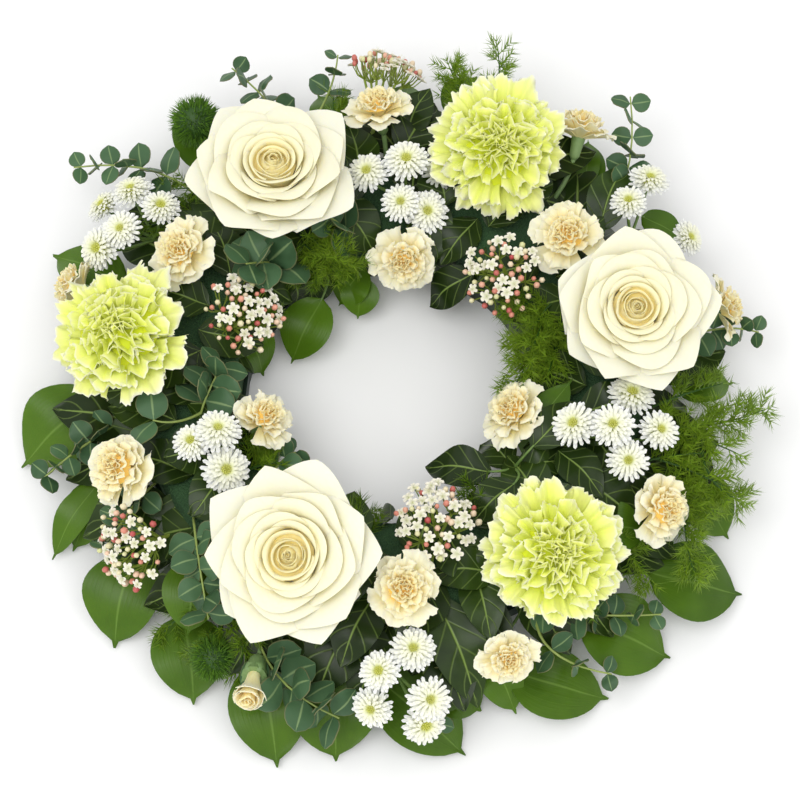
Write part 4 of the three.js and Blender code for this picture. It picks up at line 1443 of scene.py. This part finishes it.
def rose_petals(bm, chance):
    """The rolled heart, the cushion round it and all the tiers of petals."""
    heart_coil(bm, chance)
    inner_lips = [(0.95 * radius, height) for _, radius, height, *_ in ROSE_TIERS[4::-1]]
    pack_heart(bm, inner_lips, 3)
    turn = chance.uniform(0, 6.28)
    shift = Vector((chance.uniform(-1, 1), chance.uniform(-1, 1), 0))
    for i, (count, radius, height, opening, lip, lip_turn, point) in enumerate(ROSE_TIERS):
        closed = i < CLOSED_TIERS
        turn += math.pi / count + chance.uniform(-0.3, 0.3)
        for k in range(count):
            reach = radius * chance.uniform(0.95, 1.06)
            lip_length = lip * chance.uniform(0.9 - 0.14 * point, 1.12 + 0.16 * point)
            crest = height + chance.uniform(-1, 1) * (0.6 + point)
            sharp = point * chance.uniform(0.8, 1.4)
            claw = (2 + 0.1 * reach, CALYX_TOP - 1)
            open_by = math.radians(opening)
            bow = 9 if closed else 18
            belly = (reach - bow * math.sin(open_by), crest - bow * math.cos(open_by))
            bent = lip_turn * chance.uniform(0.85, 1.15)
            line = petal_line(claw, belly, (reach, crest), lip_length, bent, 30)
            wide = min(1.35 * math.pi * radius / count + 3, 31) * chance.uniform(0.94, 1.08)
            phase = chance.uniform(0, 6.28)
            ripple = chance.uniform(0.2, 0.9) * (0.3 + radius / 25)
            skew = chance.uniform(-0.02, 0.02) + 0.03 * closed
            power = max(3.4 - 2.1 * sharp, 1.1)
            droop = (0.1 if closed else 0.34) - 0.04 * point * chance.uniform(0, 2.5)
            roll_back = (0.5 + 8 * point) * chance.uniform(0.7, 1.2)
            tuck = 1.3 if closed else min(0.1 * radius, 2.2)
            hug = 1.05 + 0.2 * point

            def outline(across, along):
                fullness = 0.35 + 0.65 * math.sin(min(along * 1.3, 1) * math.pi / 2) ** 0.8
                share = along * (1 - droop * abs(across) ** power * along + skew * across * along)
                return share, across * wide * fullness

            def ruffle(across, along):
                edge = max(0, abs(across) - 0.2) / 0.8
                rolled = roll_back * edge**1.8 * along**1.5
                wave = math.sin(4 * across + phase) + 0.3 * math.sin(9 * across + 2 * phase)
                return rolled + ripple * wave * along**2 + tuck * across

            petal_turn = turn + (k + chance.uniform(-0.12, 0.12)) * 2 * math.pi / count
            shape = petal(line, petal_turn, hug, outline, ruffle)
            corners = add_sheet(bm, 16, 13, PETAL_THICKNESS, shape)
            bmesh.ops.translate(bm, vec=shift * (1 - i / 5) if i < 5 else Vector(), verts=corners)
            set_tone(bm, corners, 1 - i / (len(ROSE_TIERS) - 1))


def add_sepal(bm, turn, length):
    """A pointed green leaf of the calyx, bent back under the bloom."""
    line = petal_line((3, 5), (14, 5), (0.8 * length, -2), 0.3 * length, 40)

    def outline(across, along):
        return along, across * 4.5 * (1 - along**2) ** 0.7

    shape = petal(line, turn, 3, outline, lambda across, along: 0)
    add_sheet(bm, 2, 6, PETAL_THICKNESS, shape)


# Each rose: middle of its face, lean and heading, angle and radius of its foot, size.
ROSES = [
    ((122, 132.5, 88), 4, 90, (122, 126), 0.98),
    ((9, 141, 88), 14, 285, (9, 128), 0.92),
    ((247, 138, 88), 20, 240, (247, 126), 0.98),
]
for i, (at, lean, heading, foot, size) in enumerate(ROSES, start=1):
    chance = random.Random(f"rose_{i}")
    axis = facing(lean, heading)
    base = ring(*at) - axis * ROSE_FACE * size
    bloom = new_piece()
    rose_petals(bloom, chance)
    petals = len(bloom.faces)
    for k in range(SEPALS):
        add_sepal(bloom, k * 2 * math.pi / SEPALS, 26 * chance.uniform(0.85, 1.1))
    lathe(bloom, ROSE_CALYX, 12)
    bmesh.ops.scale(bloom, vec=(size, size, size), verts=bloom.verts)
    place_part(bloom, base, axis, chance.uniform(0, 6.28))
    add_stem(bloom, stem_path(ring(*foot, SOCKET_FOOT), base + axis, axis), ROSE_STEM, sides=8)
    paint_from(bloom, petals, 1)
    piece = new_object(f"cream_rose_{i}", bloom, [rose_velvet, twig_skin])
    stand_for(piece, f"rose_{i}")
